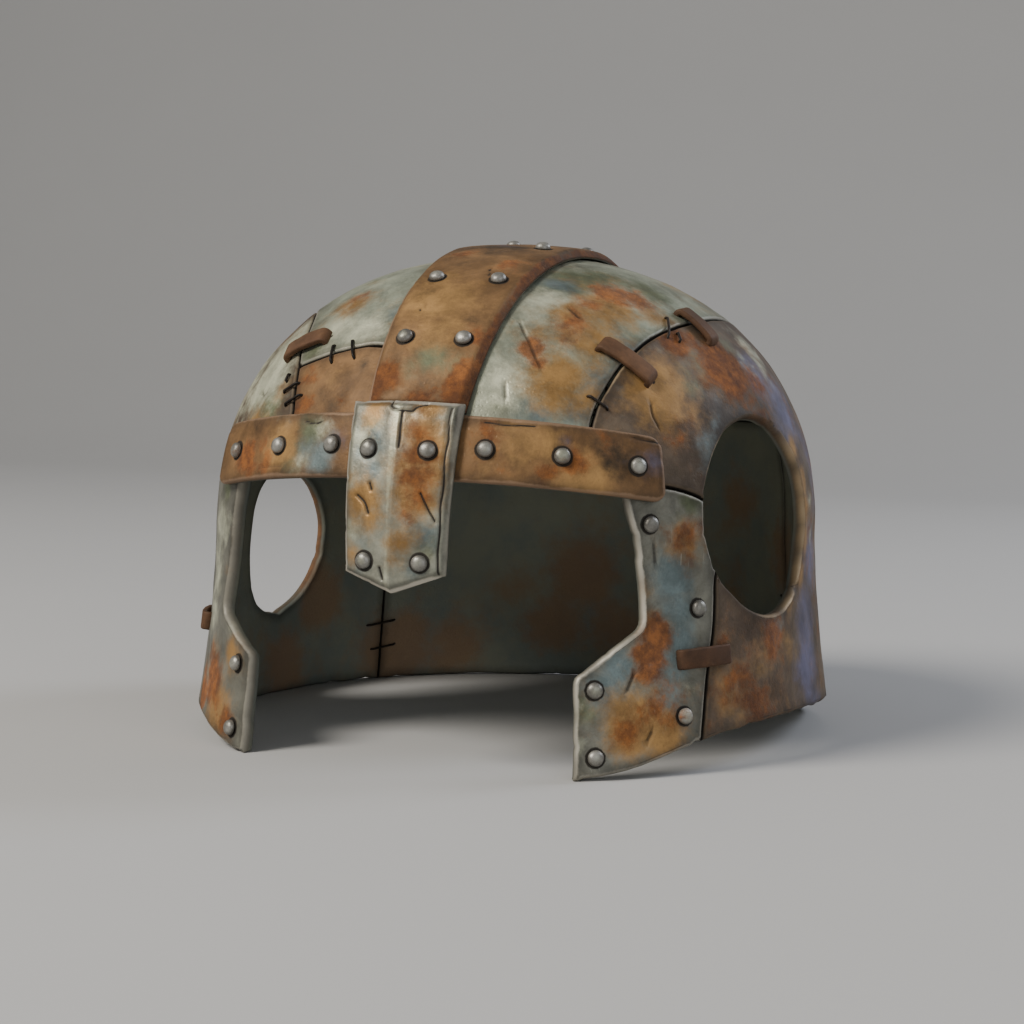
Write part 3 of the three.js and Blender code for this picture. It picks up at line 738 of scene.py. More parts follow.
# Cracks: azimuth and height of their corners
cracks = {
    "crown_plate_left": [
        [(19.3, 154.7), (20.4, 151), (21.5, 148.5), (22.8, 143), (23.7, 140)],
        [(33.1, 159.9), (34.9, 157.2)],
        [(16.6, 133), (16.8, 129.5)],
    ],
    "side_plate_left": [
        [(46.7, 127.1), (46.6, 123.4), (47.5, 120)],
        [(79.4, 117.3), (81, 118.9), (82.9, 118.9)],
        [(83.5, 111.6), (86.8, 105.2)],
        [(84, 62), (85.5, 60)],
    ],
    "side_plate_right": [
        [(-43.4, 127.7), (-41.5, 126.4), (-41, 128)],
        [(-95, 88), (-98, 81), (-97.5, 76)],
    ],
    "cheek_plate_left": [
        [(44.7, 79.3), (45, 73.5)],
        [(43.5, 15.8), (42.7, 13.2)],
        [(40.4, 35.3), (39.2, 30.3)],
    ],
    "back_plate": [[(-170, 92), (-166, 86), (-167, 80)], [(150, 42), (153, 37)]],
    "crown_plate_right": [[(-120, 160), (-126, 154)]],
}


def cadRows(table, side, height, shift=0.0, unshifted=0):
    moved = [0.0 if i < unshifted else shift for i in range(len(table))]
    return [(side * (azimuth + more), share * height) for (azimuth, share), more in zip(table, moved)]


# Lengths along a run of points, from its start to each
def runLengths(places):
    return np.concatenate([[0], np.cumsum(np.linalg.norm(np.diff(places, axis=0), axis=1))])


# A smooth run through rows of azimuth and height: corners are rounded off within a length
def smoothRows(rows, rounding, step):
    rows = np.array(rows, float)
    places = onSkull(rows[:, 0], rows[:, 1])
    lengths = np.linalg.norm(np.diff(places, axis=0), axis=1)
    run = [rows[0]]
    for i in range(1, len(rows) - 1):
        cut = min(rounding, lengths[i - 1] * 0.5, lengths[i] * 0.5)
        before = rows[i] + (rows[i - 1] - rows[i]) * cut / lengths[i - 1]
        after = rows[i] + (rows[i + 1] - rows[i]) * cut / lengths[i]
        for share in np.linspace(0, 1, 7):
            run.append((1 - share) ** 2 * before + 2 * share * (1 - share) * rows[i] + share ** 2 * after)
    run.append(rows[-1])
    return evenRows(np.array(run), step)


def evenRows(rows, step):
    places = onSkull(rows[:, 0], rows[:, 1])
    lengths = runLengths(places)
    wanted = np.linspace(0, lengths[-1], max(2, math.ceil(lengths[-1] / step) + 1))
    return np.stack([np.interp(wanted, lengths, rows[:, i]) for i in range(2)], -1)


# The foot's rise all round, smoothed over 12 degrees
def rimRows():
    azimuths = np.linspace(-180, 180, 721)
    left = np.interp(np.abs(azimuths), *zip(*rimLeft))
    right = np.interp(np.abs(azimuths), *zip(*rimRight))
    rise = rimRise * np.where(azimuths > 0, left, right)
    padded = np.concatenate([rise[-13:-1], rise, rise[1:13]])
    smoothed = np.convolve(padded, np.ones(25) / 25, "valid")
    level = np.where(smoothed < 0.35, 0, smoothed)
    return np.stack([azimuths, level], -1)


# The lines that part the wall, on the chart: opening, ear holes, middle, arches, seams, patch and rim
def wallLines():
    step = wall["lineStep"]
    left = cadRows(openingLeft, 1, openingTop)
    right = cadRows(openingRight, -1, openingTop)
    foot = skull["belowRim"]
    opening = [(openingLeft[0][0], foot), *left, *right[::-1], (-openingRight[0][0], foot)]
    lines = [toChart(smoothRows(opening, 3.0, step))]
    for hole in earHoles:
        turns = np.linspace(0, 2 * math.pi, math.ceil(hole["radius"] * 2 * math.pi / step) + 1)
        y = hole["y"] + hole["radius"] * np.cos(turns)
        z = hole["z"] + hole["radius"] * np.sin(turns)
        rest = girth(z) ** skull["planPower"] - np.abs(y / depthAt(y)) ** skull["planPower"]
        x = hole["side"] * skull["halfWidth"] * rest ** (1 / skull["planPower"])
        lines.append(toChart(np.stack([azimuthOf(np.stack([x, y, z], -1)), z], -1)))
    front = -np.interp(-(openingTop - 1), -profile["z"], profile["chart"])
    rear = np.interp(-(backPlateHeight - 1), -profile["z"], profile["chart"])
    middle = np.linspace(front, rear, 230)
    lines.append(np.stack([middle * 0, middle], -1))
    for side, table, start in [(1, archLeft, 32.5), (-1, archRight, 30.5)]:
        ends = [(side * start, openingTop - 1), (side * 146, backPlateHeight - 1)]
        arch = [ends[0], *cadRows(table, side, skull["domeHeight"]), ends[1]]
        lines.append(toChart(smoothRows(arch, 12.0, step)))
        seam = cadRows(cheekSeam, side, openingTop, 9.0 if side < 0 else 0.0, 2)
        lines.append(toChart(smoothRows([*seam, (seam[-1][0], foot)], 5.0, step)))
        azimuth = side * rearSeamAzimuth
        rearSeam = np.array([(azimuth, foot), (azimuth, backPlateHeight + 0.5)])
        lines.append(toChart(evenRows(rearSeam, step)))
    top = np.array([(rearSeamAzimuth - 0.3, backPlateHeight), (360.3 - rearSeamAzimuth, backPlateHeight)])
    lines.append(toChart(evenRows(top, step)))
    lines.append(toChart(smoothRows(cadRows(patchSeam, -1, skull["domeHeight"]), 12.0, step)))
    lines.append(toChart(rimRows()))
    return lines


# The two runs that keep a distance from a line
def besideLine(line, away):
    along = np.gradient(line, axis=0)
    along /= np.maximum(np.linalg.norm(along, axis=1, keepdims=True), 1e-9)
    across = np.stack([along[:, 1], -along[:, 0]], -1) * (away * chartScale(line))[:, None]
    return np.concatenate([line + across, line - across])


# Places spread evenly over the wall, in rings round the crown
def gridPlaces():
    places = []
    step = wall["gridStep"]
    for k in range(1, int(profile["length"][-1] / step)):
        length = k * step
        radius = np.interp(length, profile["length"], profile["radius"])
        reach = np.interp(length, profile["length"], profile["chart"])
        count = max(6, round(2 * math.pi * radius / step))
        turns = (np.arange(count) + (k % 2) / 2) * 2 * math.pi / count
        places.append(np.stack([reach * np.sin(turns), -reach * np.cos(turns)], -1))
    return np.concatenate(places)


# Cuts the chart into triangles along the lines, with rows of points beside them and the cracks
def layOutWall():
    lines = wallLines()
    crackLines = [toChart(smoothRows(rows, 2.0, 0.8)) for group in cracks.values() for rows in group]
    lineTree = treeOf(fromChart(np.concatenate(lines)))
    crackTree = treeOf(fromChart(np.concatenate(crackLines)))
    taken = []

    def take(places, fromLines, fromCracks):
        points = fromChart(places)
        isClear = (distances(lineTree, points) > fromLines) & (distances(crackTree, points) > fromCracks)
        taken.append(places[isClear])

    for away in wall["crackRows"]:
        for line in crackLines:
            rows = besideLine(line, away) if away else line
            take(rows, wall["crackRowClear"], away * wall["crackRowShare"])
    for away in wall["lineRows"]:
        for line in lines:
            take(besideLine(line, away), away * wall["lineRowShare"], wall["lineRowClear"])
    take(gridPlaces(), wall["lineClear"], wall["crackClear"])
    edges = []
    start = 0
    for line in lines:
        edges += [(start + i, start + i + 1) for i in range(len(line) - 1)]
        start += len(line)
    chosen = np.concatenate([*lines, *taken])
    cut = delaunay_2d_cdt([Vector(place) for place in chosen.tolist()], edges, [], 0, 1e-4, True)
    places = np.array([tuple(place) for place in cut[0]])
    barriers = {tuple(sorted(edge)) for edge, origins in zip(cut[1], cut[4]) if len(origins)}
    return places, [tuple(face) for face in cut[2]], barriers


outside = -2  # the number of the region below the rim


def edgesOf(face):
    return [(face[j], face[(j + 1) % 3]) for j in range(3)]


# Numbers the regions of triangles that barriers part
def partTriangles(triangles, barriers):
    sharing = {}
    for i, face in enumerate(triangles):
        for edge in edgesOf(face):
            sharing.setdefault(tuple(sorted(edge)), []).append(i)
    region = [-1] * len(triangles)
    count = 0
    for first in range(len(triangles)):
        if region[first] >= 0:
            continue
        region[first] = count
        waiting = [first]
        while waiting:
            for edge in edgesOf(triangles[waiting.pop()]):
                edge = tuple(sorted(edge))
                if edge in barriers:
                    continue
                for other in sharing[edge]:
                    if region[other] < 0:
                        region[other] = count
                        waiting.append(other)
        count += 1
    return region


# Sizes and places of the bands, rivets and staples, the same as the CAD source's
bandLift = 0.4
brow = {
    "height": 111.0,
    "sag": 7.0,
    "width": 21.5,
    "span": 46.0,
    "corner": 5.0,
    "thickness": 4.0,
    "bevel": 1.3,
    "bevelDrop": 1.1,
    "rivets": [-38.8, -25, -12.5, 13.9, 27.1, 40.8],
}
crest = {
    "endWidth": 36.0,
    "topWidth": 46.0,
    "endOffset": 2.0,
    "topOffset": 4.5,
    "frontHeight": 123.25,
    "rearHeight": 122.0,
    "thickness": 3.5,
    "bevel": 3.0,
    "bevelDrop": 2.3,
    "rivets": [
        (-1, 0.101), (1, 0.101), (-1, 0.228), (1, 0.228), (1, 0.395), (-1, 0.54), (1, 0.6), (-1, 0.77),
        (1, 0.77), (-1, 0.9), (1, 0.9),
    ],
}
nasal = {
    "top": 123.75,
    "length": 61.8,
    "point": 6.7,
    "topWidth": 38.5,
    "footWidth": 35.0,
    "offset": 1.3,
    "lift": 4.7,
    "thickness": 4.2,
    "ridge": 2.0,
    "bevel": 2.5,
    "bevelDrop": 2.2,
    "rivets": [0.262, 0.875],
}
pairSpread = 0.54
cheekRivets = {
    "rivet_cheek_left": [(43.9, 86.4), (54.1, 56.9), (33.2, 30.4), (50.2, 20.3), (33.2, 7.8)],
    "rivet_cheek_right": [(-35.7, 30.9), (-34.8, 8.0)],
}
staples = {
    "staple_arch_left_front": [(38.2, 0.818), (48.6, 0.746)],
    "staple_arch_left_top": [(70.5, 0.884), (73.4, 0.818)],
    "staple_cheek_left": [(49.2, 0.219), (60.9, 0.224)],
    "staple_arch_right_front": [(-40.9, 0.78), (-28.9, 0.822)],
    "staple_arch_right_top": [(-101, 0.816), (-104, 0.892)],
    "staple_cheek_right": [(-61, 0.221), (-73, 0.221)],
}


# Places on the bands. The brow band's are an azimuth, a share of half its width, and a height
def browPlace(azimuth, v, height):
    cornerSpan = math.degrees(brow["corner"] / skull["frontDepth"])
    fromEnd = np.clip((brow["span"] - np.abs(azimuth)) / cornerSpan, 0, 1)
    rounding = brow["corner"] * (1 - np.sqrt(1 - (1 - fromEnd) ** 2))
    z = brow["height"] - brow["sag"] * (azimuth / brow["span"]) ** 2 + v * (brow["width"] / 2 - rounding)
    return raised(onSkull(azimuth, z), height)


# The wall's point at a place across, in a plane tilted about the axis through the dome's springing
def overCrown(x, tilt):
    back = -np.cos(np.radians(tilt))
    up = np.sin(np.radians(tilt))
    near, far = np.zeros_like(x), np.full_like(x, 320.0)
    for halving in range(36):
        middle = (near + far) / 2
        y, z = middle * back, skull["springHeight"] + middle * up
        power = skull["planPower"]
        reach = np.abs(x / skull["halfWidth"]) ** power + np.abs(y / depthAt(y)) ** power
        inside = (z < skull["domeHeight"]) & (reach < girth(z) ** power)
        near = np.where(inside, middle, near)
        far = np.where(inside, far, middle)
    return np.stack([x, near * back, skull["springHeight"] + near * up], -1)


# The tilt of the plane that meets the middle of the wall at a height
def middleTilt(z, depth):
    return math.degrees(math.atan2(z - skull["springHeight"], depth * float(girth(z))))


# The crest band's: u runs from brow to nape, and v from side to side
def crestPlace(u, v, height):
    u, v = np.broadcast_arrays(np.asarray(u, float), np.asarray(v, float))
    front = middleTilt(crest["frontHeight"], skull["frontDepth"])
    rear = 180 - middleTilt(crest["rearHeight"], skull["rearDepth"])
    swell = np.sin(math.pi * np.clip(u, 0, 1))
    width = crest["endWidth"] + (crest["topWidth"] - crest["endWidth"]) * swell
    offset = crest["endOffset"] + (crest["topOffset"] - crest["endOffset"]) * swell
    return raised(overCrown(offset + v * width / 2, front + (rear - front) * u), height)


# The nasal's: u runs from side to side, and v down
def nasalPlace(u, v, height):
    foot = nasal["top"] - nasal["length"] + nasal["point"] * np.abs(u)
    width = nasal["topWidth"] + (nasal["footWidth"] - nasal["topWidth"]) * v
    x = nasal["offset"] + u * width / 2
    z = nasal["top"] + (foot - nasal["top"]) * v
    rest = girth(z) ** skull["planPower"] - np.abs(x / skull["halfWidth"]) ** skull["planPower"]
    front = np.stack([x, -skull["frontDepth"] * rest ** (1 / skull["planPower"]), z], -1)
    return raised(front, height)


# The nasal's outer side has a ridge down its middle
def nasalFace(u, v, height):
    return nasalPlace(u, v, height + nasal["ridge"] * (1 - np.abs(u)))


# A rivet's seat on a mapped face: its point and the way the face looks there
def seatOn(place, u, v, height):
    def at(du, dv):
        return Vector(place(np.array([u + du]), np.array([v + dv]), height)[0])

    point = at(0, 0)
    normal = (at(0.01, 0) - at(-0.01, 0)).cross(at(0, 0.01) - at(0, -0.01)).normalized()
    outward = Vector(skullNormal(np.array([point]))[0])
    return point, normal if normal.dot(outward) > 0 else -normal


# Every rivet's name, seat, direction, and the thickness that it grips
def rivetSeats():
    seats = []
    for i, azimuth in enumerate(brow["rivets"]):
        seat = seatOn(browPlace, azimuth, 0, bandLift + brow["thickness"])
        seats.append((f"rivet_brow_{i + 1}", *seat, bandLift + brow["thickness"] + wall["thickness"]))
    for i, (side, share) in enumerate(crest["rivets"]):
        seat = seatOn(crestPlace, share, side * pairSpread, bandLift + crest["thickness"])
        seats.append((f"rivet_crest_{i + 1}", *seat, bandLift + crest["thickness"] + wall["thickness"]))
    for row, share in enumerate(nasal["rivets"]):
        face = nasal["lift"] + nasal["thickness"]
        for side in [-1, 1]:
            seat = seatOn(nasalFace, side * pairSpread, share, face)
            grip = nasal["thickness"] if row else face + wall["thickness"]
            seats.append((f"rivet_nasal_{2 * row + (2 if side > 0 else 1)}", *seat, grip))
    for name, places in cheekRivets.items():
        for i, (azimuth, z) in enumerate(places):
            point = onSkull(azimuth, z)
            seat = (Vector(point), Vector(skullNormal(point)))
            seats.append((f"{name}_{i + 1}", *seat, wall["thickness"]))
    return seats


seats = rivetSeats()
stapleEnds = [
    onSkull(azimuth, share * skull["domeHeight"])
    for ends in staples.values()
    for azimuth, share in ends
]
rivetTree = treeOf(np.array([tuple(point) for name, point, normal, grip in seats]))
stapleTree = treeOf(np.array(stapleEnds))


# How far the nearest rivet or staple is; inside, only the rivets come through
def seatDistance(points, isInside=False):
    away = distances(rivetTree, points)
    if not isInside:
        away = np.minimum(away, distances(stapleTree, points) + 2.6)
    return np.minimum(away, farAway)


# The plates: a place on each, to know its region by, and its finish and tints
plates = {
    "side_plate_left": {
        "probe": (105, 0.3),
        "finish": (sideIron, "side_iron"),
        "seed": 1.0,
        "bare": 0.08,
        "hints": {
            "bare": [
                (42, 138, 14, 0.7), (60, 108, 9, 0.6), (74, 51, 8, 0.6), (89, 112, 8, 0.9),
                (92, 98, 8, 0.9), (92, 87, 8, 0.9), (92, 76, 8, 0.9), (89, 64, 8, 0.9),
                (82, 55, 8, 0.8),
            ],
            "rust": [
                (72, 140, 14, 1.1), (60, 150, 9, 0.8), (66, 148, 8, 0.6), (51, 117, 9, 0.5),
                (77, 118, 7, 0.8), (82, 108, 6, 0.6), (74, 44, 14, 0.6), (63, 30, 15, 0.5),
                (73, 47, 8, 0.5), (60, 45, 8, 0.5), (68, 18, 12, 0.6), (82, 135, 10, 0.5),
                (115, 100, 22, 0.6),
            ],
            "ochre": [
                (49, 129, 12, 1.3), (53, 136, 10, 0.9), (56, 124, 8, 0.6), (62, 24, 12, 0.7),
                (70, 35, 9, 0.5), (80, 40, 7, 0.5), (110, 40, 14, 0.5), (89, 110, 6, 1.2),
                (91, 98, 6, 1.3), (91, 87, 6, 1.3), (91, 76, 6, 1.3), (88, 64, 6, 1.2),
                (82, 56, 6, 1.1),
            ],
            "cool": [
                (65, 129, 6, 0.5), (62, 122, 6, 0.4), (75, 49, 8, 0.9), (58, 112, 8, 0.6),
                (105, 60, 14, 0.4),
            ],
            # The violet stripe down the plate, towards its rear, is a painted cool rim light
            "violet": [
                (85, 137, 15, 1.1), (91, 124, 20, 1.2), (101, 106, 20, 0.9), (99, 88, 14, 0.7),
                (95, 68, 18, 1.1), (90, 46, 17, 1.2), (89, 30, 20, 1.3), (91, 12, 18, 1.1),
                (52, 22, 8, 0.6),
            ],
            "pale": [
                (92, 146, 12, 0.8), (84, 142, 8, 0.6), (95, 90, 5, 0.8), (96, 76, 5, 0.7),
                (76, 52, 5, 0.7), (50, 105, 6, 0.35), (97, 70, 6, 0.5),
            ],
            "green": [(58, 134, 9, 0.8), (63, 140, 8, 0.6), (80, 148, 9, 0.6), (66, 8, 9, 0.7)],
            "dark": [
                (64, 117, 14, 1.5), (71, 127, 12, 1.5), (80, 127, 10, 1.3), (70, 22, 9, 0.5),
                (66, 60, 8, 0.6), (60, 40, 7, 0.4),
            ],
        },
    },
    "side_plate_right": {
        "probe": (-75, 0.62),
        "finish": (sideIron, "side_iron"),
        "seed": 2.0,
        "bare": 0.15,
        "hints": {
            "pale": [
                (-42, 147, 22, 1.3), (-43, 134, 20, 1.2), (-54, 128, 24, 0.8), (-60, 140, 22, 0.8),
                (-110, 130, 20, 0.5),
            ],
            "green": [(-37, 121, 9, 1.2), (-44, 126, 6, 0.6), (-40, 150, 5, 0.5), (-110, 70, 18, 0.4)],
            "ochre": [(-41, 113, 9, 0.9), (-36, 113, 7, 0.7), (-34, 128, 5, 0.4), (-90, 30, 16, 0.5)],
            "rust": [
                (-98, 104, 18, 0.6), (-120, 60, 20, 0.7), (-68, 30, 14, 0.6), (-111, 66, 9, 1.1),
                (-108, 50, 9, 1.1), (-109, 82, 8, 0.9),
            ],
            "cool": [(-80, 120, 14, 0.5), (-100, 40, 14, 0.4)],
        },
    },
    "cheek_plate_left": {
        "probe": (46, 0.2),
        "finish": (cheekIron, "cheek_iron"),
        "seed": 3.0,
        "bare": 0.35,
        "hints": {
            "bare": [
                (42, 88, 9, 0.9), (42, 74, 10, 0.9), (43, 58, 9, 1.0), (36, 44, 9, 1.0),
                (29.6, 30, 9, 0.9), (29.5, 14, 10, 0.8),
            ],
            "rust": [
                (52, 81, 9, 0.85), (52.5, 73, 8, 0.7), (45, 50, 8, 1.2), (43.5, 43, 7, 1.1),
                (43, 36, 6, 0.8), (44, 24, 8, 0.6), (47, 20, 7, 0.6), (39, 14, 8, 0.6),
                (41, 60, 4, 0.5),
            ],
            "cool": [
                (49, 67, 11, 1.3), (50, 57, 10, 1.2), (50, 47, 9, 1.2), (47, 37, 9, 1.4),
                (47.5, 28, 7, 1.2), (38, 38, 8, 1.4), (35, 31, 8, 1.2), (37, 28, 4, 0.5),
            ],
            "ochre": [
                (40, 18, 13, 1.2), (46, 13, 10, 1.1), (41, 64, 6, 0.9), (42, 53, 6, 0.9),
                (51, 80, 8, 0.8), (41, 30, 6, 0.6),
            ],
            "green": [
                (53, 95, 6, 1.0), (31, 24, 7, 0.9), (37, 17, 6, 0.5), (33, 9, 5, 0.5),
                (50, 90, 5, 0.4),
            ],
            "pale": [
                (30.5, 12, 5, 0.9), (30.5, 26, 5, 0.8), (42, 73, 5, 0.5), (45, 88, 5, 0.4),
                (52, 30, 4, 0.4), (33, 14, 5, 0.4),
            ],
            "dark": [(45, 78, 3, 0.5)],
        },
    },
    "cheek_plate_right": {
        "probe": (-46, 0.2),
        "finish": (cheekIron, "cheek_iron"),
        "seed": 4.0,
        "bare": 0.3,
        "hints": {
            "bare": [(-42, 84, 9, 0.3), (-36, 42, 9, 0.5), (-31, 25, 9, 0.3)],
            "pale": [(-50, 80, 14, 0.85), (-52, 62, 15, 0.8), (-54, 44, 13, 0.8), (-40, 45, 6, 0.6)],
            "rust": [
                (-46, 22, 11, 1.1), (-53, 16, 8, 0.9), (-38, 10, 7, 0.8), (-42, 16, 8, 0.7),
                (-50, 30, 6, 0.6),
            ],
            "ochre": [(-38, 34, 8, 0.9), (-42, 12, 12, 0.9), (-48, 35, 7, 0.5)],
            "green": [(-47, 93, 5, 1.2)],
        },
    },
    "crown_plate_left": {
        "probe": (60, 0.93),
        "finish": (crownIron, "crown_iron"),
        "seed": 5.0,
        "bare": 0.3,
        "hints": {
            "rust": [
                (49, 166, 11, 1.0), (58, 164, 9, 0.8), (41, 163, 8, 0.7), (33, 157, 9, 0.7),
                (30, 150, 7, 0.3), (22, 146, 5, 1.2), (23, 141, 4, 0.9), (120, 160, 20, 0.6),
            ],
            "ochre": [
                (27, 136, 14, 0.9), (32, 131, 12, 0.6), (26, 128, 8, 0.7), (37, 150, 16, 0.7),
                (46, 160, 14, 0.7), (33, 158, 9, 0.8), (60, 158, 10, 0.8), (24, 150, 7, 0.6),
                (95, 168, 14, 0.5),
            ],
            "pale": [
                (27, 163, 11, 1.2), (22, 158, 8, 0.9), (18, 137, 9, 1.4), (17, 130, 6, 0.9),
                (24, 146, 6, 0.6), (110, 172, 14, 0.5),
            ],
            "green": [
                (42, 171, 12, 1.0), (68, 167, 12, 0.9), (28, 140, 7, 0.5), (16, 128, 5, 0.6),
                (55, 172, 12, 0.9), (30, 168, 8, 0.6), (50, 152, 9, 0.6),
            ],
            "cool": [
                (31, 125, 8, 0.9), (38, 134, 11, 1.1), (43, 145, 10, 0.9), (22, 125, 8, 0.7),
                (32, 168, 9, 0.6), (135, 150, 14, 0.5),
            ],
            "dark": [(62, 170, 12, 0.6), (44, 176, 10, 0.4)],
        },
    },
    "crown_plate_right": {
        "probe": (-60, 0.93),
        "finish": (crownIron, "crown_iron"),
        "seed": 6.0,
        "bare": 0.3,
        "hints": {
            "ochre": [(-32, 161, 8, 0.8), (-38, 160, 7, 0.7), (-80, 165, 14, 0.5)],
            "rust": [(-35, 163, 6, 0.5), (-110, 165, 16, 0.7)],
            "pale": [
                (-18, 151, 11, 1.2), (-27, 153, 9, 1.1), (-56, 176, 12, 0.7), (-26, 144, 7, 0.7),
                (-40, 168, 9, 0.5),
            ],
            "cool": [(-14, 158, 8, 0.5), (-30, 146, 5, 0.5)],
            "green": [(-31, 143, 5, 0.6), (-45, 170, 9, 0.5), (-90, 172, 14, 0.4)],
        },
    },
    "patch_plate": {
        "probe": (-18, 0.71),
        "finish": (rustedBand, "rusted_band"),
        "seed": 7.0,
        "bare": 0.2,
        "hints": {
            "rust": [(-26, 134, 8, 0.55), (-25, 124, 8, 0.7), (-14, 124, 9, 0.5), (-31, 128, 6, 0.4)],
            "ochre": [(-20, 134, 8, 0.5)],
            "dark": [(-13, 139, 4, 0.5), (-20, 128, 20, 0.25)],
        },
    },
    "back_plate": {
        "probe": (170, 0.3),
        "finish": (sideIron, "side_iron"),
        "seed": 8.0,
        "bare": 0.4,
        "hints": {
            "rust": [(160, 30, 30, 0.5), (-160, 80, 26, 0.5), (180, 108, 24, 0.4), (140, 100, 18, 0.4)],
            "ochre": [(-170, 40, 14, 0.6), (148, 96, 12, 0.5)],
            "pale": [(175, 72, 28, 0.4), (-148, 20, 18, 0.35)],
            "cool": [(150, 66, 22, 0.45), (-145, 100, 16, 0.4)],
        },
    },
}
# Blotches on the inner side of every plate
insideHints = {
    "rust": [
        (-174, 46, 16, 0.9), (-168, 24, 14, 0.9), (-160, 40, 10, 0.5), (-110, 37, 14, 1.1),
        (-102, 10, 16, 0.9), (-131, 14, 16, 1.0), (-146, 12, 14, 0.9), (180, 26, 14, 0.7),
        (166, 16, 16, 0.7), (150, 30, 14, 0.6), (128, 62, 18, 0.8), (146, 84, 14, 0.7),
        (112, 60, 20, 0.7), (105, 96, 14, 0.6),
    ]
}


# Pushes from two edges added up, made longer at a corner so that both edges move as far
def cornerStretch(total):
    lengths = np.linalg.norm(total, axis=1)
    return total / np.maximum(lengths, 1e-6)[:, None] / np.clip(lengths / 2, 0.6, 1)[:, None]


# 1 along a crack and 0 away from it
def crackNear(points, rows, width, rounding, step):
    near = np.zeros(len(points))
    for marks in rows:
        run = smoothRows(marks, rounding, step)
        away = distances(treeOf(onSkull(run[:, 0], run[:, 1])), points)
        near = np.maximum(near, np.exp(-(away / width) ** 2))
    return near


# One plate: its rims are drawn in and worn uneven, its face is beaten, and it is thickened to a shell
def makePlate(name, faces, border, places):
    used = sorted({i for face in faces for i in face})
    local = {old: new for new, old in enumerate(used)}
    look = plates[name]
    seed = look["seed"]
    base = fromChart(places[used])
    normals = skullNormal(base)
    inward = np.zeros_like(base)
    isSeam = np.zeros(len(base))
    edges = [(local[a], local[b], seam) for a, b, seam in border]
    for a, b, seam in edges:
        side = np.cross(normals[a] + normals[b], base[b] - base[a])
        side /= max(np.linalg.norm(side), 1e-9)
        inward[[a, b]] += side
        isSeam[[a, b]] = np.maximum(isSeam[[a, b]], seam)
    rims = np.array(sorted({a for a, b, seam in edges}))
    ragged = np.clip(0.5 + noiseOf(base[rims], wall["raggedSize"], seed), 0, 1) * wall["raggedness"]
    nicks = np.clip(noiseOf(base[rims], wall["nickSize"], seed + 3) - 0.3, 0, 1) * wall["nickDepth"]
    inset = wall["seamGap"] / 2 + np.where(isSeam[rims] > 0, 0.3, 1.0) * (ragged + nicks)
    push = cornerStretch(inward[rims]) * inset[:, None]
    rimTree = treeOf(base[rims])
    found = [rimTree.find(point) for point in base]
    nearest = np.array([row[1] for row in found])
    fade = np.clip(1 - np.array([row[2] for row in found]) / wall["nickReach"], 0, 1)
    moved = base + push[nearest] * fade[:, None]
    quarters = (0, 0.25, 0.5, 0.75)
    samples = [moved[a] + (moved[b] - moved[a]) * share for a, b, seam in edges for share in quarters]
    edge = distances(treeOf(np.array(samples)), moved)
    seamNear = isSeam[rims][nearest]

    relief = wall["waviness"] * (noiseOf(moved, wall["waveSize"], seed) - 1) / 2
    relief -= wall["hammering"] * hammerMarks(moved, wall["hammerSize"], seed) * smoothStep(0, 6, edge)
    crack = crackNear(moved, cracks.get(name, []), wall["crackWidth"], 2.0, 0.3)
    seat = seatDistance(moved)
    relief -= wall["dent"] * smoothStep(wall["dentReach"], 3.0, seat)
    outer = raised(moved, relief + roundedEdge(edge, wall["outerRound"]) - wall["crackDepth"] * crack)
    lower = skullNormal(moved)
    lower[:, 2] *= smoothStep(2, 18, moved[:, 2])
    lower /= np.linalg.norm(lower, axis=1, keepdims=True)
    depth = wall["thickness"] + roundedEdge(edge, wall["innerRound"])
    depth -= wall["thinning"] * noiseOf(moved, 30.0, seed + 5)
    inner = moved - lower * depth[:, None]
    points = np.concatenate([outer, inner])
    points[:, 2] = np.maximum(points[:, 2], 0)

    count = len(moved)
    shell = [tuple(local[i] for i in face) for face in faces]
    shell += [tuple(count + i for i in reversed(face)) for face in shell]
    shell += [(a, count + a, count + b, b) for a, b, seam in edges]
    dark = np.maximum(crack, smoothStep(1.0, 0.2, edge) * seamNear)
    broken = smoothStep(-0.4, 0.1, noiseOf(moved, wall["arrisBreaks"], seed + 9))
    arris = np.exp(-((edge - wall["arrisAway"]) / wall["arrisWidth"]) ** 2) * (1 - seamNear) * broken
    dark = np.maximum(dark, wall["arrisDark"] * arris)
    tints = hintsAt(moved, look["hints"], look["bare"])
    # The seats darken the plate round the rivets and staples, partly dirt and partly painted shade
    seatPair = (seat, seatDistance(moved, True) + 0.7)
    darkPair = (dark, smoothStep(0.8, 0.1, edge) * seamNear)
    layers = shellLayers(tints, hintsAt(moved, insideHints), edge, seatPair, darkPair)
    addMesh(name, points, shell, layers, look["finish"], [name])


# Parts the wall into regions, finds each plate's own, and gives it its border
def makeWall():
    places, triangles, barriers = layOutWall()
    region = partTriangles(triangles, barriers)
    middles = places[np.array(triangles)].mean(axis=1)
    spots = fromChart(middles)
    rim = rimRows()
    for i in np.flatnonzero(spots[:, 2] < np.interp(azimuthOf(spots), rim[:, 0], rim[:, 1])):
        region[i] = outside
    own = {}
    for name, look in plates.items():
        azimuth, share = look["probe"]
        place = toChart([(azimuth, share * skull["domeHeight"])])[0]
        own[name] = region[int(np.argmin(np.linalg.norm(middles - place, axis=1)))]
    sharing = {edge: i for i, face in enumerate(triangles) for edge in edgesOf(face)}
    for name, number in own.items():
        faces = [face for i, face in enumerate(triangles) if region[i] == number]
        border = []
        for a, b in [edge for face in faces for edge in edgesOf(face)]:
            other = sharing.get((b, a))
            if other is None or region[other] != number:
                seam = 1.0 if other is not None and region[other] in own.values() else 0.0
                border.append((a, b, seam))
        makePlate(name, faces, border, places)
        print("stage:", name, len(faces), "triangles a side")


makeWall()

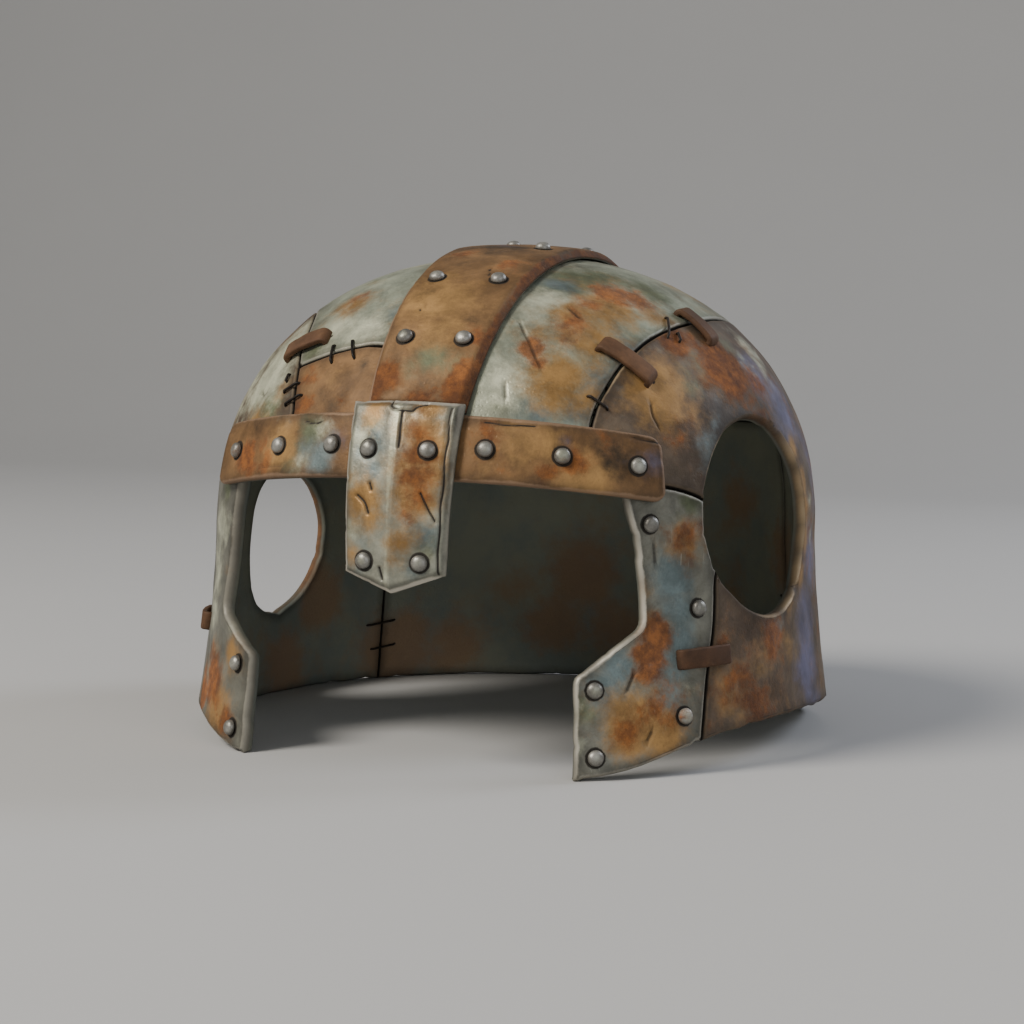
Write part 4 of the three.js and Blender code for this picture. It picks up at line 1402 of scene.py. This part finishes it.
# Bands: a grid of stations across and along, raised over the wall, with a bevelled border
nearEdge = [0, 0.3, 0.6, 1.0, 1.5, 2.1, 2.6, 3.1, 3.7, 4.5]
band = {
    "waveSize": 34.0,
    "nickSize": 3.6,
    "nickReach": 3.2,
    "dent": 0.22,  # the iron is beaten down round the rivets
    "dentReach": 6.0,
    "sideStart": 0.8,  # the left side, turned from the key lamp, is painted in shade from here to the next
    "sideEnd": 0.95,
    "sideShadeDarkness": 0.6,
    "sideShadeWearLoss": 0.8,
    "ridgeAside": -0.075,  # the painted highlight along the nasal's fold, as shares of half its width
    "ridgeWidth": 0.055,
}


# Stations along a length, closer together near its ends
def bandStations(length, step):
    near = np.array(nearEdge)
    steps = max(2, round((length - 2 * nearEdge[-1]) / step))
    middle = np.linspace(nearEdge[-1], length - nearEdge[-1], steps + 1)[1:-1]
    return np.concatenate([near, middle, (length - near)[::-1]])


# How far stations are from the nearer end
def toEnds(stations):
    return np.minimum(stations, stations[-1] - stations)


# One band over its stations. faceAt and backAt place its outer and inner side over the wall
def makeBand(name, look, us, vs, faceAt, backAt, edge, extra=None):
    rows, columns = len(us), len(vs)
    u, v = [grid.ravel() for grid in np.meshgrid(us, vs, indexing="ij")]
    edge = edge.ravel()
    lift, thickness = look["lift"], look["thickness"]
    flat = faceAt(u, v, lift + thickness)
    rise = np.clip(edge / look["bevel"], 0, 1)
    rounded = np.sqrt(1 - (1 - rise) ** 2) if look["isRounded"] else smoothStep(-0.25, 1.15, rise)
    drop = look["bevelDrop"] * (1 - (rounded - rounded.min()) / (rounded.max() - rounded.min()))
    seed = look["seed"]
    relief = look["waviness"] * (noiseOf(flat, band["waveSize"], seed) - 1) / 2
    relief -= look["hammering"] * hammerMarks(flat, look["hammerSize"], seed) * smoothStep(0, 4, edge)
    nicks = np.clip(noiseOf(flat, band["nickSize"], seed + 2) - 0.2, 0, 1)
    relief -= look["nicks"] * nicks * smoothStep(band["nickReach"], 0, edge)
    under = backAt(u, v, 0 * u)
    crack = crackNear(under, look["cracks"], look["crackWidth"], 1.5, 0.25)
    seat = seatDistance(flat)
    relief -= band["dent"] * smoothStep(band["dentReach"], 3.0, seat)
    if extra is not None:
        relief += extra(u, v)
    top = faceAt(u, v, lift + thickness - drop + relief - look["crackDepth"] * crack)
    back = backAt(u, v, lift + 0 * u)
    count = len(u)
    points = np.concatenate([top, back])
    faces = []
    for i in range(rows - 1):
        for j in range(columns - 1):
            a, b = i * columns + j, (i + 1) * columns + j
            faces.append((a, b, b + 1, a + 1))
            faces.append((count + a + 1, count + b + 1, count + b, count + a))
    around = [i * columns for i in range(rows)]
    around += [(rows - 1) * columns + j for j in range(1, columns)]
    around += [i * columns + columns - 1 for i in reversed(range(rows - 1))]
    around += [j for j in reversed(range(1, columns - 1))]
    for a, b in zip(around, around[1:] + around[:1]):
        faces.append((b, a, count + a, count + b))
    if signedVolume(points, faces) < 0:
        faces = [tuple(reversed(face)) for face in faces]
    tints = hintsAt(under, look["hints"], look["bare"])
    # The left side, turned from the key lamp, is painted in shade: darker and browner with rust, and less
    # worn
    across = v if look["isLengthways"] else u
    shadedSide = look["sideShadeAmount"] * smoothStep(band["sideStart"], band["sideEnd"], across)
    tints["dark"] = np.maximum(tints["dark"], shadedSide * band["sideShadeDarkness"])
    tints["rust"] = np.maximum(tints["rust"], shadedSide * look["sideShadeRust"])
    tints["bare"] *= 1 - band["sideShadeWearLoss"] * shadedSide
    # Along the nasal's fold a pale line is painted, a painted highlight, and the half turned to the key
    # lamp is kept clear of rust, a painted lit side
    ridge = look["ridgeHighlight"] * (1 - 0.55 * smoothStep(0.3, 0.6, v))
    fold = np.exp(-((u - band["ridgeAside"]) / band["ridgeWidth"]) ** 2)
    tints["pale"] = np.maximum(tints["pale"], ridge * fold)
    tints["rust"] *= 1 - np.clip(look["ridgeHighlight"], 0, 1) * smoothStep(0.02, -0.06, u)
    layers = shellLayers(tints, hintsAt(under, {}), edge, (seat, seat), (crack, crack * 0))
    addMesh(name, points, faces, layers, look["finish"], [name])
    print("stage:", name, len(faces), "faces")


# Below 0 when the faces look inward
def signedVolume(points, faces):
    total = 0.0
    for face in faces:
        a, b, c = points[face[0]], points[face[1]], points[face[2]]
        total += np.dot(a, np.cross(b, c))
        if len(face) == 4:
            total += np.dot(a, np.cross(c, points[face[3]]))
    return total


plainBand = {
    "finish": (rustedBand, "rusted_band"),
    "lift": bandLift,
    "isRounded": False,
    "isLengthways": False,
    "waviness": 0.4,
    "crackWidth": 0.5,
    "crackDepth": 0.6,
    "sideShadeAmount": 0.0,
    "sideShadeRust": 0.0,
    "ridgeHighlight": 0.0,
}
browLook = {
    **plainBand,
    "thickness": brow["thickness"],
    "bevel": brow["bevel"],
    "bevelDrop": brow["bevelDrop"],
    "isRounded": True,
    "seed": 11.0,
    "hammering": 0.28,
    "hammerSize": 11.0,
    "nicks": 1.3,
    "crackWidth": 0.45,
    "bare": 0.45,
    "cracks": [
        [(13.4, 119.1), (17, 118.3), (22.5, 118.1)],
        [(40.2, 114.7), (45.4, 112.9)],
        [(-19.5, 117.5), (-17.3, 116.6), (-15.6, 117.8)],
        [(-29, 101.5), (-23.5, 102.5)],
    ],
    "hints": {
        "rust": [
            (-35, 104, 10, 1.0), (-31, 108, 8, 0.6), (14, 114, 9, 0.8), (17, 108, 8, 0.5),
            (29, 107, 7, 0.9), (25, 104, 7, 0.6), (-28, 104, 6, 0.6), (35, 114, 5, 0.4),
        ],
        "ochre": [
            (-24, 110, 8, 1.1), (20, 113, 9, 0.6), (31, 101, 9, 0.8), (24, 113, 8, 0.6),
            (-27, 105, 6, 0.8),
        ],
        "green": [(-18, 114, 8, 1.1), (-21, 104, 7, 0.7), (-19, 110, 8, 0.8)],
        "cool": [(-15, 106, 9, 1.2), (-18, 109, 8, 1.0), (-24, 117, 6, 0.5), (-13, 112, 6, 0.8)],
        "pale": [(-25, 117, 8, 0.7), (-15, 116, 7, 0.7), (-19, 104, 8, 0.7), (13, 119, 5, 0.3)],
        "violet": [(44, 105, 8, 0.7), (40, 108, 7, 0.5), (-11, 112, 5, 0.4), (27, 113, 5, 0.4)],
        "dark": [
            (37, 109, 11, 0.9), (44, 106, 6, 0.6), (-33, 116, 7, 0.5), (27, 112, 5, 0.9),
            (20, 106, 9, 0.35), (40, 102, 6, 0.5), (44, 114, 5, 0.6),
        ],
    },
}


def makeBrow():
    middle = onSkull(np.linspace(-brow["span"], brow["span"], 400), brow["height"])
    lengths = runLengths(middle)
    along = bandStations(lengths[-1], 1.1)
    us = np.interp(along, lengths, np.linspace(-brow["span"], brow["span"], 400))
    across = bandStations(brow["width"], 1.0)
    vs = across / brow["width"] * 2 - 1
    edge = np.minimum(toEnds(along)[:, None], toEnds(across)[None, :])
    makeBand("brow_band", browLook, us, vs, browPlace, browPlace, edge)


crestLook = {
    **plainBand,
    "thickness": crest["thickness"],
    "bevel": crest["bevel"],
    "bevelDrop": crest["bevelDrop"],
    "isLengthways": True,
    "seed": 13.0,
    "hammering": 0.3,
    "hammerSize": 15.0,
    "nicks": 1.2,
    "bare": 0.6,
    "sideShadeAmount": 1.3,
    "sideShadeRust": 0.55,
    "cracks": [[(-3, 158), (-4.5, 155.5)], [(8, 171), (9, 168)]],
    "hints": {
        "rust": [
            (-6, 133, 9, 1.0), (-7, 127, 7, 0.9), (9, 133, 8, 1.0), (8, 127, 7, 0.9), (2, 125, 9, 0.8),
            (-9, 176, 9, 0.6), (14, 172, 8, 0.7), (10, 146, 5, 0.5),
        ],
        "ochre": [
            (0, 158, 14, 1.0), (3, 150, 12, 0.9), (-4, 166, 10, 0.7), (0, 145, 8, 0.6),
            (5, 164, 7, 0.5),
        ],
        "green": [(2, 139, 9, 1.0), (8, 137, 7, 0.8), (-1, 136, 7, 0.8)],
        "dark": [
            (6, 178, 14, 0.75), (-5, 161, 5, 0.8), (9, 127, 5, 0.7), (8, 152, 6, 0.7),
            (8, 158, 4, 0.4), (-1, 172, 5, 0.5), (1, 128, 13, 0.65), (7, 130, 6, 0.6),
            (-6, 124, 5, 0.6),
        ],
        "violet": [(2, 180, 9, 0.5), (-7, 124, 6, 0.5)],
    },
}


def makeCrest():
    shares = np.linspace(0, 1, 500)
    middle = crestPlace(shares, np.zeros(500), 0.0)
    lengths = runLengths(middle)
    along = bandStations(lengths[-1], 1.5)
    us = np.interp(along, lengths, shares)
    across = bandStations(crest["topWidth"], 1.4)
    vs = across / crest["topWidth"] * 2 - 1
    swell = np.sin(math.pi * us)
    narrow = crest["endWidth"] / crest["topWidth"]
    widths = narrow + (1 - narrow) * swell
    edge = np.minimum(toEnds(along)[:, None], toEnds(across)[None, :] * widths[:, None])
    makeBand("crest_band", crestLook, us, vs, crestPlace, crestPlace, edge)


nasalLook = {
    **plainBand,
    "finish": (paleIron, "pale_iron"),
    "lift": nasal["lift"],
    "thickness": nasal["thickness"],
    "bevel": nasal["bevel"],
    "bevelDrop": nasal["bevelDrop"],
    "seed": 17.0,
    "waviness": 0.3,
    "hammering": 0.22,
    "hammerSize": 9.0,
    "nicks": 1.6,
    "crackDepth": 0.9,
    "bare": 0.95,
    "sideShadeAmount": 0.9,
    "ridgeHighlight": 1.5,
    "lip": 0.55,
    "tuck": 0.9,
    "sliver": 0.7,
    "fold": 0.4,
    "foldSide": 0.25,
    "cracks": [
        [(0.6, 119.9), (0.65, 115.5), (0.8, 111.5), (0.75, 109.0)],
        [(-1.4, 123.4), (-1.2, 121.1), (0.6, 119.9), (2.1, 120.1), (2.6, 121.4), (4.2, 122.6)],
        [(4.5, 95.3), (5.7, 90.3), (6.9, 86.4)],
        [(-3.1, 97.9), (-2.7, 95.9)],
        [(-5, 94), (-3.6, 91.8), (-3, 88.5)],
        [(-1, 70.7), (-0.5, 66.7)],
        [
            (8.3, 121.8), (8.0, 118), (8.2, 112), (7.8, 107), (7.9, 98), (7.5, 92), (7.6, 84),
            (7.3, 77), (7.4, 69),
        ],
    ],
    "hints": {
        "rust": [
            (3.2, 121, 7, 0.6), (3.4, 114, 8, 0.75), (3.6, 107, 9, 0.9), (3.8, 100, 9, 0.95),
            (3.8, 94, 8, 0.9), (3.0, 88, 7, 0.7), (2.0, 82, 6, 0.5),
        ],
        "ochre": [
            (-4, 122, 6, 1.1), (-5, 118, 5, 0.7), (-4, 93, 7, 1.0), (-2.6, 86, 6, 0.8),
            (1.8, 80, 7, 0.8), (1.2, 74, 6, 0.6), (5, 121, 6, 0.9), (4.4, 113, 9, 1.0),
            (4.4, 103, 10, 1.1), (3.6, 94, 8, 1.0), (-6, 99, 4, 0.6), (-6, 74, 5, 0.6),
        ],
        "cool": [
            (-3.5, 109, 7, 1.1), (-3, 102, 6, 0.9), (5, 83, 7, 0.9), (-4, 72, 6, 0.8),
            (6.4, 92, 4, 0.6), (4, 71, 6, 0.8), (-4, 79, 6, 0.6), (-6, 116, 5, 0.5),
        ],
        "pale": [(-6.5, 112, 6, 0.9), (-6, 84, 6, 0.8), (-7, 98, 5, 0.9), (6.2, 90, 3.5, 0.8)],
        "green": [(-4, 116, 5, 0.8), (5, 78, 6, 0.7)],
    },
}


# The nasal is folded sharply along its middle. The split at its top bends the left lip up, and the
# notch leaves a sliver bent down
def nasalBends(u, v):
    down = v * nasal["length"]
    lip = nasalLook["lip"] * np.exp(-((u + 0.17) / 0.1) ** 2) * smoothStep(22, 2, down)
    tuck = -nasalLook["tuck"] * smoothStep(0.3, 0.0, np.abs(u + 0.08) * 1.2)
    tuck *= smoothStep(4.0, 0.5, down)
    sliver = -nasalLook["sliver"] * smoothStep(0.5, 0.95, u) * np.exp(-((down - 33) / 5) ** 2)
    fold = nasalLook["fold"] * np.exp(-np.abs(u) / 0.09)
    fold -= nasalLook["foldSide"] * np.exp(-((u - 0.16) / 0.1) ** 2)
    return lip + tuck + sliver + fold


def makeNasal():
    down = bandStations(nasal["length"], 0.5)
    vs = down / nasal["length"]
    across = bandStations(nasal["topWidth"], 0.45)
    us = across / nasal["topWidth"] * 2 - 1
    widths = 1 + (nasal["footWidth"] / nasal["topWidth"] - 1) * vs
    fromEnds = np.minimum(down, (nasal["length"] - down) * 0.93)  # the point's rims run aslant
    edge = np.minimum(toEnds(across)[:, None] * widths[None, :], fromEnds[None, :])
    makeBand("nasal", nasalLook, us, vs, nasalFace, nasalPlace, edge, nasalBends)


makeBrow()
makeCrest()
makeNasal()

# Rivets: a domed head hammered a little out of true, the shank, and its spread end inside
rivet = {
    "radius": 2.82,
    "height": 2.1,
    "fullness": 0.92,  # powers under 1 make the dome's side and top fuller
    "topFullness": 0.85,
    "sunk": 0.35,
    "shank": 1.6,
    "tailRadius": 2.5,
    "tailHeight": 0.55,
    "turns": 28,
    "rings": 8,
    "lean": 2.5,
    "unevenness": 0.05,
    "topHighlight": 0.5,
    "seat": 4.6,
    "finish": (rivetSteel, "rivet_steel"),
}
rustyRivets = {
    "rivet_brow_1": 0.6,
    "rivet_crest_5": 0.3,
    "rivet_brow_5": 0.35,
    "rivet_cheek_left_4": 0.35,
}


# One rivet, turned from an outline of radii and heights, from the head's top to the tail
def makeRivet(name, point, normal, grip, seed):
    outline = [(0.0, rivet["height"])]
    for i in range(1, rivet["rings"] + 1):
        turn = i / rivet["rings"] * math.pi / 2
        side = rivet["radius"] * math.sin(turn) ** rivet["fullness"]
        outline.append((side, rivet["height"] * math.cos(turn) ** rivet["topFullness"]))
    under, inside, end = -rivet["sunk"], -grip + 0.1, -grip - rivet["tailHeight"]
    shank, tail = rivet["shank"], rivet["tailRadius"]
    outline += [(rivet["radius"] * 0.98, under), (shank, under), (shank, inside), (tail, inside)]
    outline += [(tail, -grip - rivet["tailHeight"] * 0.5), (tail * 0.7, end), (0.0, end)]
    count = rivet["turns"]
    points = [(0, 0, outline[0][1])]
    for radius, height in outline[1:-1]:
        for k in range(count):
            turn = 2 * math.pi * k / count
            points.append((radius * math.cos(turn), radius * math.sin(turn), height))
    points.append((0, 0, outline[-1][1]))
    points = np.array(points, float)
    uneven = noiseOf(points, 2.6, seed) * smoothStep(-0.4, 0.4, points[:, 2])
    points *= (1 + rivet["unevenness"] * uneven)[:, None]
    faces = [(0, 1 + k, 1 + (k + 1) % count) for k in range(count)]
    rings = len(outline) - 2
    faces += [(a, d, c, b) for a, b, c, d in ringFaces(1, rings, count)]
    last = 1 + (rings - 1) * count
    faces += [(len(points) - 1, last + (k + 1) % count, last + k) for k in range(count)]
    leaning = Vector(noise.random_unit_vector()) * math.tan(math.radians(rivet["lean"])) * 0.5
    turned = (normal + leaning).normalized().to_track_quat("Z", "Y").to_matrix()
    placed = points @ np.array(turned).T + np.array(point)
    placed[:, 2] = np.maximum(placed[:, 2], 0)
    height = points[:, 2]
    layers = plainLayers(len(points))
    layers["rust"] += rustyRivets.get(name, 0.0)
    # The head's top is painted paler, a painted highlight
    layers["pale"] += rivet["topHighlight"] * smoothStep(0.8, 2.2, height)
    layers["seat"] = np.where(height > 0.5, farAway, rivet["seat"])
    layers["inner"] = np.where(height < -1, 1.0, 0.0)
    addMesh(name, placed, faces, layers, rivet["finish"], [name])


noise.seed_set(7)
for i, (name, point, normal, grip) in enumerate(seats):
    makeRivet(name, point, normal, grip, i + 1.0)
print("stage:", len(seats), "rivets")

# Staples: straps bent into the wall at both ends
staple = {
    "width": 7.0,
    "strap": 2.2,
    "corner": 0.75,
    "bow": 0.6,
    "bend": 1.7,
    "foot": 2.6,
    "gap": 0.25,
    "unevenness": 0.035,
    "swelling": 0.05,
    "entryShadow": 0.8,
    "finish": (stapleIron, "staple_iron"),
}


# A rectangle with rounded corners
def ringOutline(width, height, corner, steps=4):
    outline = []
    for quarter, (sx, sy) in enumerate([(1, 1), (-1, 1), (-1, -1), (1, -1)]):
        for i in range(steps + 1):
            turn = math.radians(quarter * 90 + i * 90 / steps)
            x = sx * (width / 2 - corner) + corner * math.cos(turn)
            y = sy * (height / 2 - corner) + corner * math.sin(turn)
            outline.append((x, y))
    return np.array(outline)


# One strap: a path along the wall with both feet bent into it, and an outline swept along the path
def makeStaple(name, ends, seed):
    (fromAzimuth, fromShare), (toAzimuth, toShare) = ends
    tall = skull["domeHeight"]
    first = Vector(onSkull(fromAzimuth, fromShare * tall))
    second = Vector(onSkull(toAzimuth, toShare * tall))
    middle = Vector(onSkull((fromAzimuth + toAzimuth) / 2, (fromShare + toShare) / 2 * tall))
    normal = Vector(skullNormal(np.array(middle)))
    along = second - first
    along -= normal * along.dot(normal)
    reach = along.length / 2
    along.normalize()
    across = along.cross(normal)
    sag = (middle - (first + second) / 2).dot(normal)
    half = staple["strap"] / 2
    path = []
    for x in np.linspace(-reach + half + staple["bend"], reach - half - staple["bend"], 25):
        share = x / reach
        path.append((x, staple["gap"] + half + staple["bow"] * (1 - share ** 2) - sag * share ** 2))
    bends = [math.radians(turn) for turn in np.linspace(15, 90, 6)]
    for way, (x, y) in [(-1, path[0]), (1, path[-1])]:
        foot = []
        for bent in bends:
            drop = staple["bend"] * (1 - math.cos(bent))
            foot.append((x + way * staple["bend"] * math.sin(bent), y - drop))
        foot.append((foot[-1][0], foot[-1][1] - staple["foot"]))
        path = foot[::-1] + path if way < 0 else path + foot
    path = np.array(path)
    outline = ringOutline(staple["width"], staple["strap"], staple["corner"])
    tangents = np.gradient(path, axis=0)
    tangents /= np.linalg.norm(tangents, axis=1, keepdims=True)
    points, edge = [], []
    for (x, y), (tx, ty) in zip(path, tangents):
        swell = 1 + staple["swelling"] * noise.noise(Vector((x / 5, seed, 0)))
        for acrossWay, up in outline * swell:
            points.append(middle + along * (x - ty * up) + normal * (y + tx * up) + across * acrossWay)
            edge.append(staple["width"] / 2 - abs(acrossWay))
    count = len(outline)
    points = np.array([tuple(point) for point in points])
    lumps = noiseOf(points, 3.5, seed)
    centres = np.repeat(points.reshape(len(path), count, 3).mean(axis=1), count, axis=0)
    points = centres + (points - centres) * (1 + staple["unevenness"] * lumps)[:, None]
    faces = ringFaces(0, len(path), count)
    faces.append(tuple(reversed(range(count))))
    faces.append(tuple((len(path) - 1) * count + j for j in range(count)))
    if signedVolume(points, faces[:-2]) < 0:
        faces = [tuple(reversed(face)) for face in faces]
    fromMiddle = np.abs(np.repeat(path[:, 0], count)) / reach
    layers = plainLayers(len(points))
    # The feet are darkened where they go into the wall, a painted shadow
    layers["dark"] += staple["entryShadow"] * smoothStep(0.8, 0.97, fromMiddle)
    layers["edge"] = np.array(edge) + 0.4
    addMesh(name, points, faces, layers, staple["finish"], [name])


for i, (name, ends) in enumerate(staples.items()):
    makeStaple(name, ends, i + 21.0)
print("stage:", len(staples), "staples")

# Stitches: wire through both plates, laid over the seams. Rows are the two ends of each stitch
stitch = {"radius": 0.5, "rise": 0.55, "dive": 1.6, "sides": 8, "steps": 14}
stitches = {
    "stitches-patch-top": [[(-24.5, 145.8), (-21.9, 139.1)], [(-19.7, 147.7), (-15.9, 140.8)]],
    "stitches-patch-side": [
        [(-32.9, 128), (-28.6, 132.1)],
        [(-30.4, 123.5), (-26, 128)],
        [(-34.1, 134.8), (-33.7, 131.9)],
    ],
    "stitches-arch-left": [
        [(33, 130.1), (37.1, 125.1)],
        [(63.1, 157.8), (57.9, 149.9)],
        [(62.2, 151.8), (61.1, 148.6)],
    ],
    "stitches-rear-right": [
        [(-123, 24.6), (-131, 26.6)],
        [(-124.5, 14), (-131.4, 16)],
        [(-124, 60), (-131, 61)],
    ],
    "stitches-rear-left": [[(124, 34), (131.2, 36)], [(124.3, 46), (130.8, 46.5)]],
}


# One stitch's wire, outside the wall or inside it
def stitchTube(ends, side, points, faces):
    rows = np.array(ends, float)
    shares = np.linspace(0, 1, stitch["steps"])
    line = rows[0] + (rows[1] - rows[0]) * shares[:, None]
    base = onSkull(line[:, 0], line[:, 1])
    arch = np.minimum(1, np.minimum(shares, 1 - shares) * 7)
    level = 0.0 if side > 0 else wall["thickness"]
    height = -stitch["dive"] + (stitch["dive"] + stitch["rise"]) * np.sin(arch * math.pi / 2)
    path = raised(base, side * height - level)
    normals = skullNormal(base)
    along = np.gradient(path, axis=0)
    along /= np.linalg.norm(along, axis=1, keepdims=True)
    across = np.cross(along, normals)
    across /= np.linalg.norm(across, axis=1, keepdims=True)
    up = np.cross(across, along)
    start, count = len(points), stitch["sides"]
    for i in range(len(path)):
        for k in range(count):
            turn = 2 * math.pi * k / count
            aside = math.cos(turn) * across[i] + math.sin(turn) * up[i]
            points.append(path[i] + stitch["radius"] * aside)
    faces += ringFaces(start, len(path), count)
    faces.append(tuple(start + k for k in reversed(range(count))))
    faces.append(tuple(start + (len(path) - 1) * count + k for k in range(count)))


def makeStitches():
    for name, rows in stitches.items():
        points, faces = [], []
        for ends in rows:
            for side in [1, -1]:
                stitchTube(ends, side, points, faces)
        points = np.array(points)
        addMesh(name, points, faces, plainLayers(len(points)), (wireIron, "staple_iron"), [])


makeStitches()
print("stage:", len(stitches), "runs of stitches")

# The room: a pale floor swept up behind, and soft lamps
room = {
    "halfWidth": 14.0,
    "front": -14.0,
    "back": 2.6,
    "sweep": 1.2,
    "height": 3.4,
    "colour": (0.46, 0.455, 0.445),
    "lighter": 1.06,
    "roughness": 0.85,
    "lampTarget": (0, 0, 0.09),
    "air": (0.82, 0.83, 0.84),
    "airStrength": 0.34,
}
lamps = {
    "key": {"place": (-1.1, -1.5, 1.7), "size": 1.0, "power": 62.0, "colour": (1.0, 0.95, 0.875)},
    "fill": {"place": (1.7, -1.4, 0.7), "size": 1.6, "power": 9.0, "colour": (0.90, 0.94, 1.0)},
    "rim": {"place": (1.2, 1.1, 1.1), "size": 0.7, "power": 16.0, "colour": (0.80, 0.86, 1.0)},
}


def makeRoom():
    rows = [(room["front"], 0.0), (room["back"] - room["sweep"], 0.0)]
    for turn in np.linspace(8, 90, 12):
        bent = math.radians(turn)
        y = room["back"] - room["sweep"] + room["sweep"] * math.sin(bent)
        rows.append((y, room["sweep"] * (1 - math.cos(bent))))
    rows.append((room["back"], room["height"]))
    points = [(side * room["halfWidth"], y, z) for y, z in rows for side in (-1, 1)]
    faces = [(2 * i, 2 * i + 1, 2 * i + 3, 2 * i + 2) for i in range(len(rows) - 1)]
    mesh = bpy.data.meshes.new("floor")
    mesh.from_pydata(points, [], faces)
    mesh.shade_smooth()
    material = bpy.data.materials.new("floorPaint")
    material.use_nodes = True
    tree = material.node_tree
    shader = tree.nodes["Principled BSDF"]
    place = tree.nodes.new("ShaderNodeTexCoord").outputs["Object"]
    lighter = tuple(value * room["lighter"] for value in room["colour"])
    colour = mixColour(tree, noiseNode(tree, place, 3.0, 4.0, 0.6), room["colour"], lighter)
    tree.links.new(colour, shader.inputs["Base Color"])
    shader.inputs["Roughness"].default_value = room["roughness"]
    mesh.materials.append(material)
    floor = bpy.data.objects.new("floor", mesh)
    bpy.context.scene.collection.objects.link(floor)


def makeLamps():
    target = Vector(room["lampTarget"])
    for name, look in lamps.items():
        data = bpy.data.lights.new(name, "AREA")
        data.shape = "DISK"
        data.size = look["size"]
        data.energy = look["power"]
        data.color = look["colour"]
        lamp = bpy.data.objects.new(name, data)
        lamp.location = look["place"]
        lamp.rotation_euler = (target - Vector(look["place"])).to_track_quat("-Z", "Y").to_euler()
        bpy.context.scene.collection.objects.link(lamp)
    world = bpy.data.worlds.new("air")
    bpy.context.scene.world = world
    world.use_nodes = True
    air = world.node_tree.nodes["Background"]
    air.inputs["Color"].default_value = (*room["air"], 1)
    air.inputs["Strength"].default_value = room["airStrength"]


# The camera stands as the drawing was seen: a little to the wearer's left and just above level
camera = {
    "azimuth": 20.2,
    "elevation": 4.3,
    "roll": 0.94,
    "distance": 924.0,
    "target": (-2.1, -1.8, 81.7),
    "lens": 83.92,
    "sensor": 36.0,
}


def makeCamera():
    turn, lift, roll = [math.radians(camera[name]) for name in ["azimuth", "elevation", "roll"]]
    back = Vector((math.sin(turn) * math.cos(lift), -math.cos(turn) * math.cos(lift), math.sin(lift)))
    right = Vector((math.cos(turn), math.sin(turn), 0))
    up = back.cross(right)
    rolledRight = math.cos(roll) * right + math.sin(roll) * up
    rolledUp = math.cos(roll) * up - math.sin(roll) * right
    data = bpy.data.cameras.new("camera")
    data.lens = camera["lens"]
    data.sensor_width = camera["sensor"]
    data.clip_start = 0.05
    data.clip_end = 30
    view = bpy.data.objects.new("camera", data)
    place = (Vector(camera["target"]) + back * camera["distance"]) * millimetre
    turned = Matrix((rolledRight, rolledUp, back)).transposed().to_4x4()
    view.matrix_world = Matrix.Translation(place) @ turned
    bpy.context.scene.collection.objects.link(view)
    bpy.context.scene.camera = view


makeRoom()
makeLamps()
makeCamera()
print("stage: room, lamps and camera")
